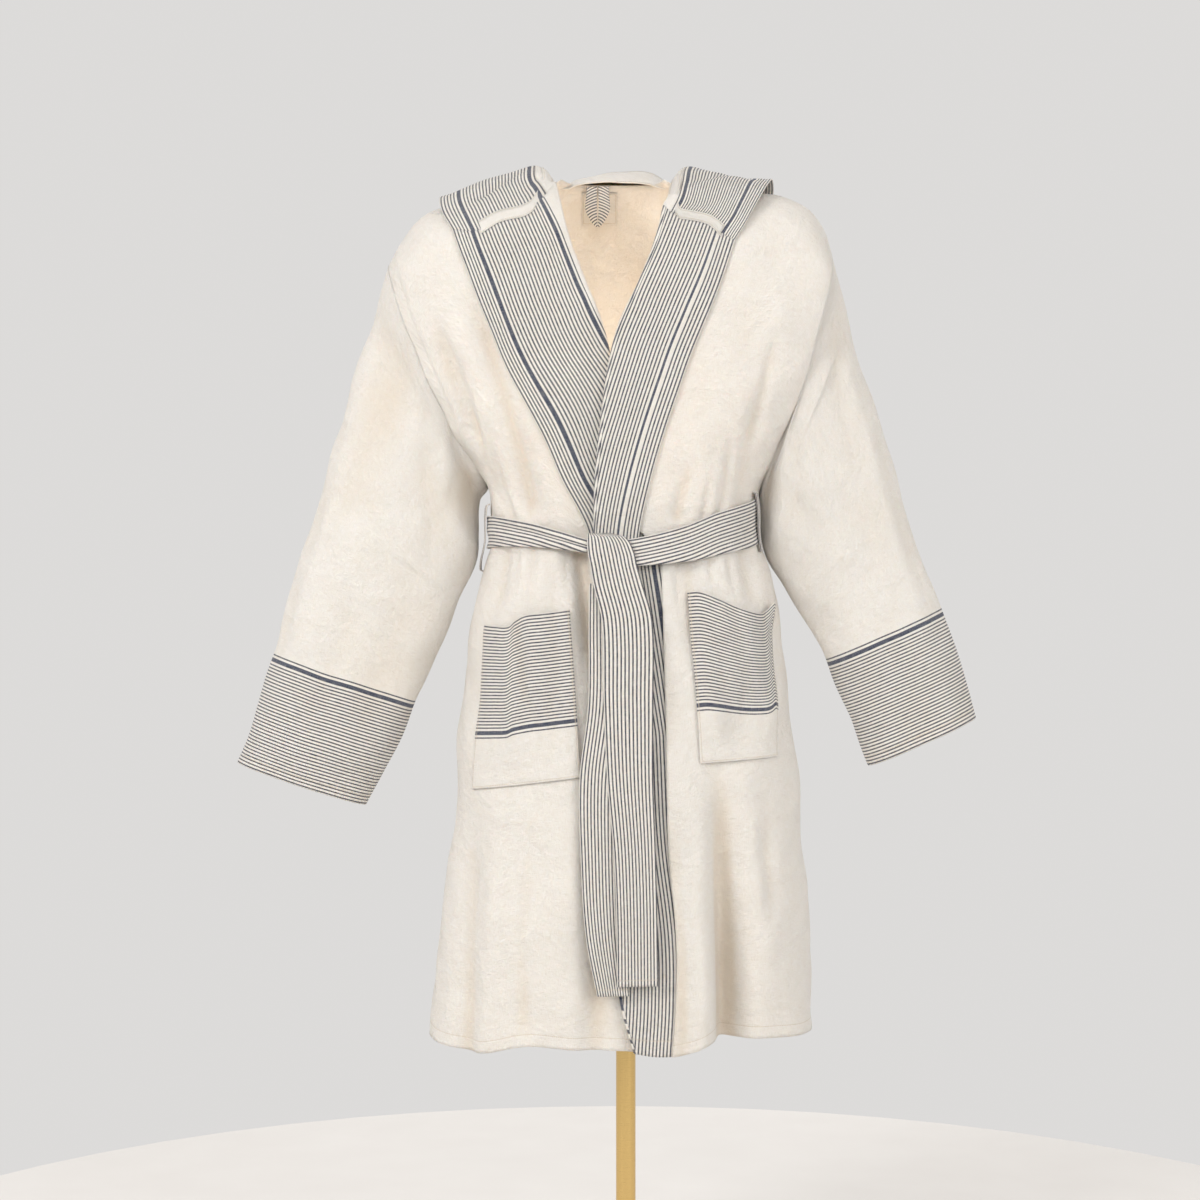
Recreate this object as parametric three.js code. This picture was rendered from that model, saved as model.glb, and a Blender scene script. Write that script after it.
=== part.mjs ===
// A hooded cotton bathrobe that hangs, tied with its own belt, on a round-based display stand.
// Millimetres, +Z up. The origin is on the floor at the middle of the stand's base and the
// robe's front faces -Y. Right and left are the wearer's: right is -X, left is +X.
import * as THREE from 'three';

// Cloth
const CLOTH = 2; // wall of one layer
const SEAM_SHIFT = 0.2; // each of two sewn edges stands back this far from the seam line
const ON_TOP = 3.4; // middle of a layer that lies on a panel, from the panel's middle
const ROLL_RISE = 6.2; // height of the lapel's roll over the panel

// Heights
const HEM = 357;
const BELT = 985;
const ARMPIT_RIGHT = { x: -181, z: 1052 };
const ARMPIT_LEFT = { x: 166, z: 1052 };
const TIP_RIGHT = { x: -302, z: 1336 };
const TIP_LEFT = { x: 261, z: 1352 };
const ARMHOLE_BOW = 12; // outward bow of the armhole seam
const SHOULDER_ROUND = 85; // height over which the shoulder rounds off
const SECTION_POWER = 2.4; // squareness of the body's rings

// Rings of the body: outer edges in x, front and back in y, side seams in y, turn about Z
const BODY = [
  { z: 357, right: -250, left: 246, front: -132, back: 162, mid: 22, turn: 28 },
  { z: 480, right: -238, left: 238, front: -134, back: 157, mid: 20, turn: 22 },
  { z: 600, right: -222, left: 226, front: -135, back: 150, mid: 16, turn: 14 },
  { z: 735, right: -214, left: 213, front: -134, back: 140, mid: 12, turn: 7 },
  { z: 880, right: -197, left: 192, front: -130, back: 127, mid: 6, turn: 3 },
  { z: 955, right: -178, left: 175, front: -122, back: 117, mid: 2, turn: 0 },
  { z: 985, right: -171, left: 165, front: -117, back: 111, mid: 0, turn: 0 },
  { z: 1020, right: -174, left: 163, front: -121, back: 113, mid: 0, turn: 0 },
  { z: 1055, right: -182, left: 167, front: -127, back: 117, mid: 2, turn: 0 },
  { z: 1157, right: -258, left: 232, front: -130, back: 124, mid: 6, turn: 0 },
  { z: 1260, right: -316, left: 290, front: -122, back: 126, mid: 10, turn: 0 },
  { z: 1336, right: -345, left: 315, front: -108, back: 120, mid: 10, turn: 0 },
  { z: 1460, right: -352, left: 322, front: -90, back: 106, mid: 10, turn: 0 },
];

// Ridge over the shoulders; inside the neck it is the height the back would reach if it closed
const SHOULDER = [
  { x: -345, z: 1268 },
  { x: -302, z: 1336 },
  { x: -286, z: 1366 },
  { x: -263, z: 1395 },
  { x: -235, z: 1409 },
  { x: -190, z: 1419 },
  { x: -95, z: 1440 },
  { x: -62, z: 1458 },
  { x: 30, z: 1458 },
  { x: 62, z: 1440 },
  { x: 130, z: 1430 },
  { x: 191, z: 1425 },
  { x: 215, z: 1417 },
  { x: 236, z: 1404 },
  { x: 253, z: 1379 },
  { x: 261, z: 1353 },
  { x: 300, z: 1290 },
];
const NECK_RIGHT_X = -95;
const NECK_LEFT_X = 62;
const NECK_BACK_Z = 1448;

// Front edges in x: the roll of each lapel (the V of the neck) and its outer free edge
const EDGES = [
  { z: 357, rollRight: 148, freeRight: -45, rollLeft: 12, freeLeft: 16 },
  { z: 700, rollRight: 118, freeRight: -45, rollLeft: -20, freeLeft: 16 },
  { z: 950, rollRight: 60, freeRight: -45, rollLeft: -38, freeLeft: 14 },
  { z: 993, rollRight: 42, freeRight: -48, rollLeft: -40, freeLeft: 16 },
  { z: 1055, rollRight: 20, freeRight: -79, rollLeft: -39, freeLeft: 29 },
  { z: 1116, rollRight: -1, freeRight: -106, rollLeft: -33, freeLeft: 47 },
  { z: 1187, rollRight: -16, freeRight: -145, rollLeft: -24, freeLeft: 71 },
  { z: 1243, rollRight: -29, freeRight: -169, rollLeft: -11, freeLeft: 93 },
  { z: 1300, rollRight: -51, freeRight: -191, rollLeft: 15, freeLeft: 116 },
  { z: 1362, rollRight: -73, freeRight: -214, rollLeft: 38, freeLeft: 137 },
  { z: 1436, rollRight: -90, freeRight: -236, rollLeft: 52, freeLeft: 165 },
];
const RETURN_RIGHT = 14; // the band goes this far back behind its roll
const RETURN_LEFT = 34;

// Skirt of the front edges, below the belt: seam of the left panel and fold of its band
const SKIRT_EDGES = [
  { z: 347, seam: 55, fold: 12 },
  { z: 417, seam: 60, fold: -8 },
  { z: 490, seam: 60, fold: -14 },
  { z: 613, seam: 50, fold: -22 },
  { z: 742, seam: 48, fold: -30 },
  { z: 809, seam: 46, fold: -34 },
  { z: 947, seam: 42, fold: -40 },
  { z: 985, seam: 41, fold: -41 },
];
const RIGHT_SKIRT_SEAM = 24; // x of the right panel's edge, hidden under the left front
const SKIRT_BAND_END = { foot: 88, top: 122 }; // x of its band's free edge, at the hem and waist
const SINK_ABOVE = 10.5; // how far the under front lies behind the upper one, above the belt
const SINK_BELOW = 15; // and below the belt
const SINK_RUN = 46; // it sinks over this distance

// Large folds: troughs from z1 down to z2 along x1, x2, x3. depth is inwards, half is the half
// width, and top and foot are the shares of the length over which it fades.
const FRONT_FOLDS = [
  { z1: 1310, z2: 1000, x1: -206, x2: -152, x3: -117, depth: 13, half: 15, top: 0.3, foot: 0.1 }, // chest
  { z1: 1270, z2: 1090, x1: -243, x2: -220, x3: -186, depth: 8, half: 12, top: 0.3, foot: 0.3 }, // armhole
  { z1: 972, z2: 790, x1: -62, x2: -50, x3: -44, depth: 15, half: 13, top: 0.05, foot: 0.6 }, // waist right
  { z1: 960, z2: 600, x1: -92, x2: -90, x3: -108, depth: 9, half: 14, top: 0.1, foot: 0.5 }, // pocket
  { z1: 975, z2: 860, x1: -152, x2: -162, x3: -174, depth: 8, half: 12, top: 0.05, foot: 0.5 }, // side
  { z1: 700, z2: 350, x1: -196, x2: -198, x3: -202, depth: 12, half: 16, top: 0.6, foot: 0 }, // hem side
  { z1: 640, z2: 350, x1: -48, x2: -44, x3: -38, depth: 12, half: 18, top: 0.6, foot: 0 }, // hem right
  { z1: 972, z2: 780, x1: 74, x2: 78, x3: 84, depth: 7, half: 12, top: 0.05, foot: 0.5 }, // waist left
  { z1: 972, z2: 880, x1: 146, x2: 152, x3: 158, depth: 9, half: 12, top: 0.05, foot: 0.5 }, // side
  { z1: 1180, z2: 1000, x1: 160, x2: 150, x3: 138, depth: 7, half: 12, top: 0.4, foot: 0.1 }, // chest
  { z1: 1085, z2: 1000, x1: 82, x2: 72, x3: 62, depth: 6, half: 11, top: 0.4, foot: 0.1 }, // band left
  { z1: 900, z2: 690, x1: 110, x2: 122, x3: 146, depth: 10, half: 18, top: 0.4, foot: 0.4 }, // pocket
  { z1: 780, z2: 350, x1: 110, x2: 124, x3: 134, depth: 52, half: 21, top: 0.9, foot: 0 }, // hem valley left
  { z1: 640, z2: 350, x1: 84, x2: 92, x3: 96, depth: -10, half: 22, top: 0.7, foot: 0 }, // hem ridge left
];
const BACK_FOLDS = [
  { z1: 968, z2: 700, x1: -112, x2: -118, x3: -128, depth: 11, half: 17, top: 0.05, foot: 0.7 }, // gather
  { z1: 968, z2: 640, x1: -22, x2: -30, x3: -34, depth: 13, half: 19, top: 0.05, foot: 0.7 }, // gather
  { z1: 968, z2: 690, x1: 76, x2: 84, x3: 96, depth: 11, half: 17, top: 0.05, foot: 0.7 }, // gather
  { z1: 1190, z2: 1004, x1: -70, x2: -84, x3: -96, depth: 8, half: 18, top: 0.6, foot: 0.05 }, // blouse
  { z1: 1200, z2: 1004, x1: 52, x2: 48, x3: 40, depth: 8, half: 18, top: 0.6, foot: 0.05 }, // blouse
  { z1: 720, z2: 350, x1: -150, x2: -158, x3: -166, depth: 22, half: 24, top: 0.8, foot: 0 }, // hem right
  { z1: 690, z2: 350, x1: 16, x2: 22, x3: 24, depth: 24, half: 26, top: 0.8, foot: 0 }, // hem middle
  { z1: 720, z2: 350, x1: 138, x2: 148, x3: 156, depth: 20, half: 24, top: 0.8, foot: 0 }, // hem left
];

// Sleeve sections: outer and inner edge in the front view, middle and half depths in y
const SLEEVE_RIGHT = [
  { outX: -326, outZ: 1256, inX: -186, inZ: 1022, mid: 6, front: 72, back: 70 },
  { outX: -347, outZ: 1190, inX: -188, inZ: 992, mid: 3, front: 70, back: 66 },
  { outX: -361, outZ: 1138, inX: -193, inZ: 957, mid: 0, front: 67, back: 62 },
  { outX: -392, outZ: 1036, inX: -212, inZ: 909, mid: -4, front: 62, back: 58 },
  { outX: -417, outZ: 953, inX: -237, inZ: 846, mid: -8, front: 57, back: 54 },
  { outX: -437, outZ: 888, inX: -254, inZ: 803, mid: -10, front: 54, back: 51 },
  { outX: -450, outZ: 832, inX: -266, inZ: 778, mid: -12, front: 52, back: 49 },
  { outX: -471, outZ: 764, inX: -296, inZ: 711, mid: -14, front: 50, back: 46 },
  { outX: -491, outZ: 700, inX: -327, inZ: 646, mid: -16, front: 47, back: 44 },
];
const SLEEVE_LEFT = [
  { outX: 272, outZ: 1308, inX: 171, inZ: 1024, mid: 6, front: 70, back: 68 },
  { outX: 283, outZ: 1264, inX: 174, inZ: 994, mid: 4, front: 69, back: 66 },
  { outX: 295, outZ: 1212, inX: 183, inZ: 962, mid: 1, front: 67, back: 63 },
  { outX: 324, outZ: 1128, inX: 205, inZ: 926, mid: -3, front: 62, back: 58 },
  { outX: 352, outZ: 1034, inX: 227, inZ: 889, mid: -7, front: 58, back: 54 },
  { outX: 380, outZ: 950, inX: 243, inZ: 858, mid: -10, front: 54, back: 51 },
  { outX: 404, outZ: 889, inX: 256, inZ: 831, mid: -12, front: 52, back: 49 },
  { outX: 426, outZ: 824, inX: 284, inZ: 764, mid: -14, front: 50, back: 46 },
  { outX: 447, outZ: 759, inX: 311, inZ: 698, mid: -16, front: 47, back: 44 },
];
const SLEEVE_POWER = 2.2;
// Sleeve troughs: turn round the section in degrees (0 outer edge, 90 front), depth, spread
const SLEEVE_FOLDS_RIGHT = [
  { turn: 62, from: 0, to: 5, depth: 13, spread: 20 },
  { turn: 150, from: 0, to: 3, depth: 16, spread: 22 },
  { turn: 118, from: 4, to: 9, depth: 6, spread: 26 },
  { turn: 285, from: 0, to: 7, depth: 12, spread: 26 },
];
const SLEEVE_FOLDS_LEFT = [
  { turn: 34, from: 0, to: 4, depth: 8, spread: 20 },
  { turn: 148, from: 0, to: 3, depth: 16, spread: 22 },
  { turn: 66, from: 2, to: 8, depth: 7, spread: 24 },
  { turn: 280, from: 0, to: 7, depth: 12, spread: 26 },
];

// Hood, laid over the shoulders and down the back: outer free edge and neck edge. Each is an x
// and a run over the ridge of the shoulders (front is negative); rise, puff and edge lift the
// cloth beside the neck, in the middle and at the free edge.
const HOOD_RIGHT = [
  { outX: -215, outRun: -113, neckX: -90, neckRun: -66, rise: 7, puff: 2, edge: 0 },
  { outX: -230, outRun: -74, neckX: -92, neckRun: -50, rise: 10, puff: 8, edge: 4 },
  { outX: -236, outRun: -30, neckX: -94, neckRun: -32, rise: 15, puff: 16, edge: 10 },
  { outX: -236, outRun: 26, neckX: -95, neckRun: -6, rise: 20, puff: 19, edge: 13 },
  { outX: -231, outRun: 90, neckX: -92, neckRun: 24, rise: 19, puff: 20, edge: 8 },
  { outX: -217, outRun: 160, neckX: -80, neckRun: 42, rise: 12, puff: 22, edge: 3 },
  { outX: -180, outRun: 228, neckX: -68, neckRun: 48.5, rise: 12, puff: 26, edge: 0 },
  { outX: -112, outRun: 280, neckX: -46, neckRun: 48.5, rise: 16, puff: 29, edge: 0 },
  { outX: -17, outRun: 296, neckX: -17, neckRun: 48.5, rise: 28, puff: 30, edge: 0 },
];
const HOOD_LEFT = [
  { outX: 134, outRun: -150, neckX: 45, neckRun: -121, rise: 7, puff: 2, edge: 0 },
  { outX: 152, outRun: -112, neckX: 52, neckRun: -96, rise: 9, puff: 7, edge: 5 },
  { outX: 173, outRun: -60, neckX: 58, neckRun: -54, rise: 13, puff: 13, edge: 12 },
  { outX: 189, outRun: 0, neckX: 64, neckRun: -5, rise: 17, puff: 15, edge: 17 },
  { outX: 190, outRun: 78, neckX: 60, neckRun: 24, rise: 16, puff: 17, edge: 9 },
  { outX: 176, outRun: 160, neckX: 46, neckRun: 42, rise: 18, puff: 21, edge: 3 },
  { outX: 142, outRun: 228, neckX: 35, neckRun: 48.5, rise: 29, puff: 26, edge: 0 },
  { outX: 76, outRun: 280, neckX: 12, neckRun: 48.5, rise: 34, puff: 29, edge: 0 },
  { outX: -17, outRun: 296, neckX: -17, neckRun: 48.5, rise: 28, puff: 30, edge: 0 },
];
const HOOD_BAND = 124;
const HOOD_MARGIN = 13; // cream edge of the hood beside its band at the front

// Pockets: corners in x and z, and the slack of the mouth
const POCKET_RIGHT = { topOut: [-174, 876], topIn: [-70, 895], lowOut: [-189, 672], lowIn: [-56, 690] };
const POCKET_LEFT = { topOut: [174, 893], topIn: [74, 917], lowOut: [184, 712], lowIn: [90, 706] };
const POCKET_SLACK = 11;

// Belt
const BELT_WIDTH = 57;
const TAIL_FRONT = [
  { z: 926.9, x1: -40, x2: 18, off: 16 },
  { z: 880, x1: -30, x2: 30, off: 15 },
  { z: 780, x1: -28, x2: 31, off: 14 },
  { z: 690, x1: -24, x2: 31, off: 13 },
  { z: 600, x1: -16, x2: 34, off: 13 },
  { z: 520, x1: -13, x2: 36, off: 13 },
  { z: 436, x1: -12, x2: 37, off: 13 },
];
const TAIL_BACK = [
  { z: 926.9, x1: -45, x2: 0, off: 10 },
  { z: 880, x1: -46, x2: 4, off: 9 },
  { z: 780, x1: -47, x2: 6, off: 8 },
  { z: 690, x1: -57, x2: -4, off: 8 },
  { z: 600, x1: -56, x2: -6, off: 8 },
  { z: 500, x1: -50, x2: -4, off: 8 },
  { z: 424, x1: -36, x2: 2, off: 8 },
];
const LOOPS = {
  right: { turn: -96, top: 1028, foot: 944, off: 9, wide: 15 },
  left: { turn: 74, top: 1042, foot: 968, off: 9, wide: 15 },
};

// Stand
const BASE_RADIUS = 160;
const BASE_HIGH = 14;
const POLE_RADIUS = 12.5;
const YOKE_RADIUS = 11;
const TOUCH = 0.4; // clearance between touching parts
const PAD = { long: 62, deep: 27, thick: 13 };
const PADS = { right: { x: -196, slope: 0.24 }, left: { x: 168, slope: -0.2 } };

const CREAM = { color: 0xf4ebdd, roughness: 0.95, metalness: 0 };
const STRIPED = { color: 0xb9b6b6, roughness: 0.92, metalness: 0 };
const BRASS = { color: 0xc9a14a, roughness: 0.32, metalness: 1 };
const PAD_WOOD = { color: 0xe7dcc8, roughness: 0.7, metalness: 0 };

const clamp = (v, lo, hi) => Math.min(hi, Math.max(lo, v));
const lerp = (a, b, t) => a + (b - a) * t;
const smooth = (t) => {
  const s = clamp(t, 0, 1);
  return s * s * (3 - 2 * s);
};

// A column of a table at a place along its key: a smooth cubic through its rows
function along(table, key, at, column) {
  const last = table.length - 1;
  let i = 0;
  while (i < last - 1 && at > table[i + 1][key]) i += 1;
  const slope = (k) => {
    const a = table[Math.max(k - 1, 0)];
    const b = table[Math.min(k + 1, last)];
    return (b[column] - a[column]) / (b[key] - a[key]);
  };
  const a = table[i];
  const b = table[i + 1];
  const span = b[key] - a[key];
  const t = clamp((at - a[key]) / span, 0, 1);
  const rise = t * t * (3 - 2 * t);
  const lead = t * (1 - t) * (1 - t) * span * slope(i);
  const tail = t * t * (t - 1) * span * slope(i + 1);
  return a[column] + (b[column] - a[column]) * rise + lead + tail;
}
const edge = (z, column) => along(EDGES, 'z', z, column);
const skirt = (z, column) => along(SKIRT_EDGES, 'z', z, column);
const shoulderZ = (x) => along(SHOULDER, 'x', x, 'z');

// Depth of the large folds at x, z on the front or the back
function foldDepth(folds, x, z) {
  let sum = 0;
  for (const f of folds) {
    const s = (f.z1 - z) / (f.z1 - f.z2);
    if (s <= 0 || s > 1.05) continue;
    const way = (1 - s) * (1 - s) * f.x1 + 2 * s * (1 - s) * (2 * f.x2 - (f.x1 + f.x3) / 2) + s * s * f.x3;
    const head = f.top > 0 ? smooth(s / f.top) : 1;
    const end = f.foot > 0 ? smooth((1 - s) / f.foot) : 1;
    sum += f.depth * head * end * Math.exp(-(((x - way) / f.half) ** 2));
  }
  return sum;
}

// A point of the body's ring: turn in radians from the front centre, positive to the left
function ring(turn, z, off = 0, folds = 1) {
  const row = {};
  for (const column of ['right', 'left', 'front', 'back', 'mid', 'turn']) {
    row[column] = along(BODY, 'z', z, column);
  }
  const centre = (row.right + row.left) / 2;
  const half = (row.left - row.right) / 2;
  const power = 2 / SECTION_POWER;
  const s = Math.sin(turn);
  const c = Math.cos(turn);
  const across = Math.sign(s) * Math.abs(s) ** power;
  const deep = Math.sign(c) * Math.abs(c) ** power;
  const x = centre + half * across;
  const mid = row.mid + row.turn * across;
  const depth = c > 0 ? row.mid - row.front : row.back - row.mid;
  const drop = clamp((shoulderZ(x) - z) / SHOULDER_ROUND, 0, 1);
  const close = Math.sqrt(1 - (1 - drop) ** 2);
  const y = mid - depth * deep * close;
  const nx = (Math.sign(across) * Math.abs(across) ** (SECTION_POWER - 1)) / half;
  const ny = (-Math.sign(deep) * Math.abs(deep) ** (SECTION_POWER - 1)) / depth;
  const flat = Math.hypot(nx, ny) || 1;
  const up = drop < 1 ? 1 - drop : 0;
  const level = Math.sqrt(1 - up * up);
  const fade = smooth(Math.abs(c) / 0.22); // no fold crosses a side seam
  const dent = folds ? folds * fade * foldDepth(c > 0 ? FRONT_FOLDS : BACK_FOLDS, x, z) : 0;
  const move = (level * (off - dent)) / flat;
  const point = new THREE.Vector3(x + nx * move, y + ny * move, z + up * off);
  point.baseX = x;
  point.facing = new THREE.Vector3((nx / flat) * level, (ny / flat) * level, up);
  return point;
}

// The same by x, on the front or on the back
function turnAt(x, z, onBack = false) {
  const right = along(BODY, 'z', z, 'right');
  const left = along(BODY, 'z', z, 'left');
  const across = clamp((x - (right + left) / 2) / ((left - right) / 2), -1, 1);
  const turn = Math.asin(Math.sign(across) * Math.abs(across) ** (SECTION_POWER / 2));
  return onBack ? Math.PI - turn : turn;
}
const onBack = (x, z, off, folds) => ring(turnAt(x, z, true), z, off, folds);

// The under front sinks behind the upper one where they overlap
function sink(x, z) {
  const edgeX = z > BELT ? edge(z, 'rollLeft') : skirt(z, 'fold');
  const deep = lerp(SINK_BELOW, SINK_ABOVE, smooth((z - BELT + 20) / 40));
  return deep * smooth((x - (edgeX - SINK_RUN)) / SINK_RUN);
}

// A point on a front panel, side -1 right or 1 left, moved out by off
function panelPoint(side, x, z, off = 0, folds = 1) {
  const p = ring(turnAt(x, z), z, off, folds);
  if (side < 0) p.y += sink(x, z);
  return p;
}

// A grid of points from a function of row and column
function grid(rows, cols, pointAt) {
  const points = [];
  for (let r = 0; r <= rows; r += 1) {
    const line = [];
    for (let c = 0; c <= cols; c += 1) line.push(pointAt(r / rows, c / cols, r, c));
    points.push(line);
  }
  return points;
}

// Unit normals of a grid, from its faces; they point to the grid's outer side
function normalsOf(points, closed) {
  const rows = points.length - 1;
  const cols = points[0].length - 1;
  return points.map((line, r) => line.map((p, c) => {
    const before = closed ? points[r][(c + cols - 1) % cols] : points[r][Math.max(c - 1, 0)];
    const after = closed ? points[r][(c + 1) % cols] : points[r][Math.min(c + 1, cols)];
    const below = points[Math.max(r - 1, 0)][c];
    const above = points[Math.min(r + 1, rows)][c];
    const side = new THREE.Vector3().subVectors(after, before);
    const rise = new THREE.Vector3().subVectors(above, below);
    return side.cross(rise).normalize();
  }));
}

// Sewn edges that meet share one normal and stand back from the seam line
function sew(sheets) {
  const meeting = new Map();
  const keyOf = (p) => [p.x, p.y, p.z].map((v) => Math.round(v * 4)).join();
  for (const sheet of sheets) {
    const rows = sheet.points.length - 1;
    const cols = sheet.points[0].length - 1;
    sheet.points.forEach((line, r) => line.forEach((p, c) => {
      const inward = new THREE.Vector3();
      if (r === 0) inward.add(sheet.points[1][c].clone().sub(p).normalize());
      if (r === rows) inward.add(sheet.points[rows - 1][c].clone().sub(p).normalize());
      if (!sheet.closed && c === 0) inward.add(line[1].clone().sub(p).normalize());
      if (!sheet.closed && c === cols) inward.add(line[cols - 1].clone().sub(p).normalize());
      if (inward.length() < 0.1) return;
      const key = keyOf(p);
      if (!meeting.has(key)) meeting.set(key, []);
      meeting.get(key).push({ sheet, r, c, inward: inward.normalize() });
    }));
  }
  const moves = [];
  for (const group of meeting.values()) {
    if (new Set(group.map((e) => e.sheet)).size < 2) continue;
    const normal = new THREE.Vector3();
    const average = new THREE.Vector3();
    for (const e of group) {
      const share = group.length > 2 && e.sheet.closed ? 2 : 1; // a sleeve against two panels
      normal.addScaledVector(e.sheet.normals[e.r][e.c], share);
      average.add(e.inward);
    }
    average.divideScalar(group.length);
    normal.normalize();
    for (const e of group) {
      const away = e.inward.clone().sub(average);
      if (away.length() < 0.05) away.copy(e.inward);
      moves.push({ e, normal, step: away.normalize().multiplyScalar(SEAM_SHIFT) });
    }
  }
  for (const { e, normal, step } of moves) {
    e.sheet.points[e.r][e.c] = e.sheet.points[e.r][e.c].clone().add(step);
    e.sheet.normals[e.r][e.c] = normal.clone();
  }
}

// A closed solid: the sheet's outer and inner faces with a rim round every open edge
function wall(sheet, thickness = CLOTH) {
  const { points, normals, closed } = sheet;
  const rows = points.length - 1;
  const cols = points[0].length - 1;
  const width = closed ? cols : cols + 1;
  const outer = [];
  const inner = [];
  for (let r = 0; r <= rows; r += 1) {
    for (let c = 0; c < width; c += 1) {
      outer.push(points[r][c].clone().addScaledVector(normals[r][c], thickness / 2));
      inner.push(points[r][c].clone().addScaledVector(normals[r][c], -thickness / 2));
    }
  }
  const count = outer.length;
  const at = (r, c) => r * width + (closed ? c % cols : c);
  const faces = [];
  const quad = (a, b, c, d) => faces.push(a, b, c, a, c, d);
  for (let r = 0; r < rows; r += 1) {
    for (let c = 0; c < cols; c += 1) {
      quad(at(r, c), at(r, c + 1), at(r + 1, c + 1), at(r + 1, c));
      quad(count + at(r, c), count + at(r + 1, c), count + at(r + 1, c + 1), count + at(r, c + 1));
    }
  }
  // the rim's diagonals start at the lower outer point, so two sewn rims never cross
  const rim = (a, b) => {
    const lower = outer[a].z < outer[b].z;
    if (lower) faces.push(a, b, count + b, a, count + b, count + a);
    else faces.push(a, b, count + a, b, count + b, count + a);
  };
  for (let c = 0; c < cols; c += 1) {
    rim(at(0, c + 1), at(0, c));
    rim(at(rows, c), at(rows, c + 1));
  }
  if (!closed) {
    for (let r = 0; r < rows; r += 1) {
      rim(at(r, 0), at(r + 1, 0));
      rim(at(r + 1, cols), at(r, cols));
    }
  }
  const geometry = new THREE.BufferGeometry();
  const flat = [...outer, ...inner].flatMap((p) => [p.x, p.y, p.z]);
  geometry.setAttribute('position', new THREE.Float32BufferAttribute(flat, 3));
  geometry.setIndex(faces);
  return geometry;
}

const sheetOf = (points, closed = false) => ({ points, closed, normals: normalsOf(points, closed) });

// Place on a sheet's own faces, by row and column, moved along its normal
function onGrid(sheet, row, col, off = 0) {
  const rows = sheet.points.length - 1;
  const cols = sheet.points[0].length - 1;
  const r = Math.min(Math.floor(row), rows - 1);
  const c = Math.min(Math.floor(col), cols - 1);
  const mix = (grid) => {
    const low = grid[r][c].clone().lerp(grid[r][c + 1], col - c);
    return low.lerp(grid[r + 1][c].clone().lerp(grid[r + 1][c + 1], col - c), row - r);
  };
  return mix(sheet.points).addScaledVector(mix(sheet.normals).normalize(), off);
}

// The triangles of a sheet's middle surface
function trianglesOf(sheet) {
  const list = [];
  const put = (a, b, c) => {
    const triangle = new THREE.Triangle(a, b, c);
    const normal = triangle.getNormal(new THREE.Vector3());
    list.push({ triangle, normal, box: new THREE.Box3().setFromPoints([a, b, c]).expandByScalar(14) });
  };
  const { points } = sheet;
  for (let r = 0; r + 1 < points.length; r += 1) {
    for (let c = 0; c + 1 < points[0].length; c += 1) {
      put(points[r][c], points[r][c + 1], points[r + 1][c + 1]);
      put(points[r][c], points[r + 1][c + 1], points[r + 1][c]);
    }
  }
  return list;
}

// Lifts a sheet off the ones it lies on, until their middles are as far apart as asked. A base
// with side -1 is one whose normals point away from the sheet. Some points can be held, and a
// narrow sheet moves along its own normals.
const CLEAR = 2.6; // two walls and 0.6 mm of air
function lift(sheet, bases, { distance = CLEAR, held = () => false, own = false } = {}) {
  const found = new THREE.Vector3();
  const rows = sheet.points.length - 1;
  const cols = sheet.points[0].length - 1;
  const under = bases.map(({ on, side = 1 }) => (
    { side, faces: trianglesOf(on), points: on.points.flat() }));
  const ways = sheet.normals;
  const push = (r, c, normal, by) => {
    const lean = own ? ways[r][c].dot(normal) * Math.sign(by) : 1;
    if (held(r, c) || lean < 0.5) return;
    const by1 = own ? Math.min(Math.abs(by), 1) / lean : by;
    sheet.points[r][c] = sheet.points[r][c].clone().addScaledVector(own ? ways[r][c] : normal, by1);
  };
  for (let round = 0; round < 4; round += 1) {
    for (const { side, faces, points } of under) {
      for (let r = 0; r <= 2 * rows; r += 1) {
        for (let c = 0; c <= 2 * cols; c += 1) {
          // a point, the middle of an edge or the middle of a face's diagonal
          const near = [[r >> 1, c >> 1], [(r + 1) >> 1, (c + 1) >> 1]];
          const [first, second] = near.map(([i, j]) => sheet.points[i][j]);
          const p = first.clone().lerp(second, 0.5);
          let best = null;
          let nearest = 13;
          for (const face of faces) {
            if (!face.box.containsPoint(p)) continue;
            face.triangle.closestPointToPoint(p, found);
            const away = found.distanceTo(p);
            if (away < nearest) {
              nearest = away;
              best = face;
              best.gap = p.clone().sub(found).dot(face.normal) * side;
            }
          }
          if (!best) continue;
          // beside the base's edge the distance counts, whichever way the base faces
          const gap = best.gap < -0.6 * nearest ? -nearest : nearest;
          if (gap >= distance) continue;
          for (const [i, j] of near) push(i, j, best.normal, ((distance - gap) * side) / 2);
        }
      }
      const over = trianglesOf(sheet);
      const width = cols * 2;
      for (const p of points) {
        over.forEach((face, i) => {
          if (!face.box.containsPoint(p)) return;
          face.triangle.closestPointToPoint(p, found);
          const away = found.distanceTo(p);
          if (away >= distance) return;
          const base = faces.find(({ triangle: t }) => t.a === p || t.b === p || t.c === p);
          const gap = base ? found.clone().sub(p).dot(base.normal) * side : 0;
          if (Math.abs(gap) < 0.6 * away) return;
          const r = Math.floor(i / width);
          const c = Math.floor((i % width) / 2);
          for (const [k, j] of [[r, c], [r + 1, c], [r, c + 1], [r + 1, c + 1]]) {
            push(k, j, base.normal, ((distance - gap) * side) / 3);
          }
        });
      }
    }
  }
  sheet.normals = normalsOf(sheet.points, sheet.closed);
}

const robe = new THREE.Group();
function add(name, geometry, look) {
  const mesh = new THREE.Mesh(geometry, new THREE.MeshStandardMaterial(look));
  mesh.name = name;
  robe.add(mesh);
}

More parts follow.
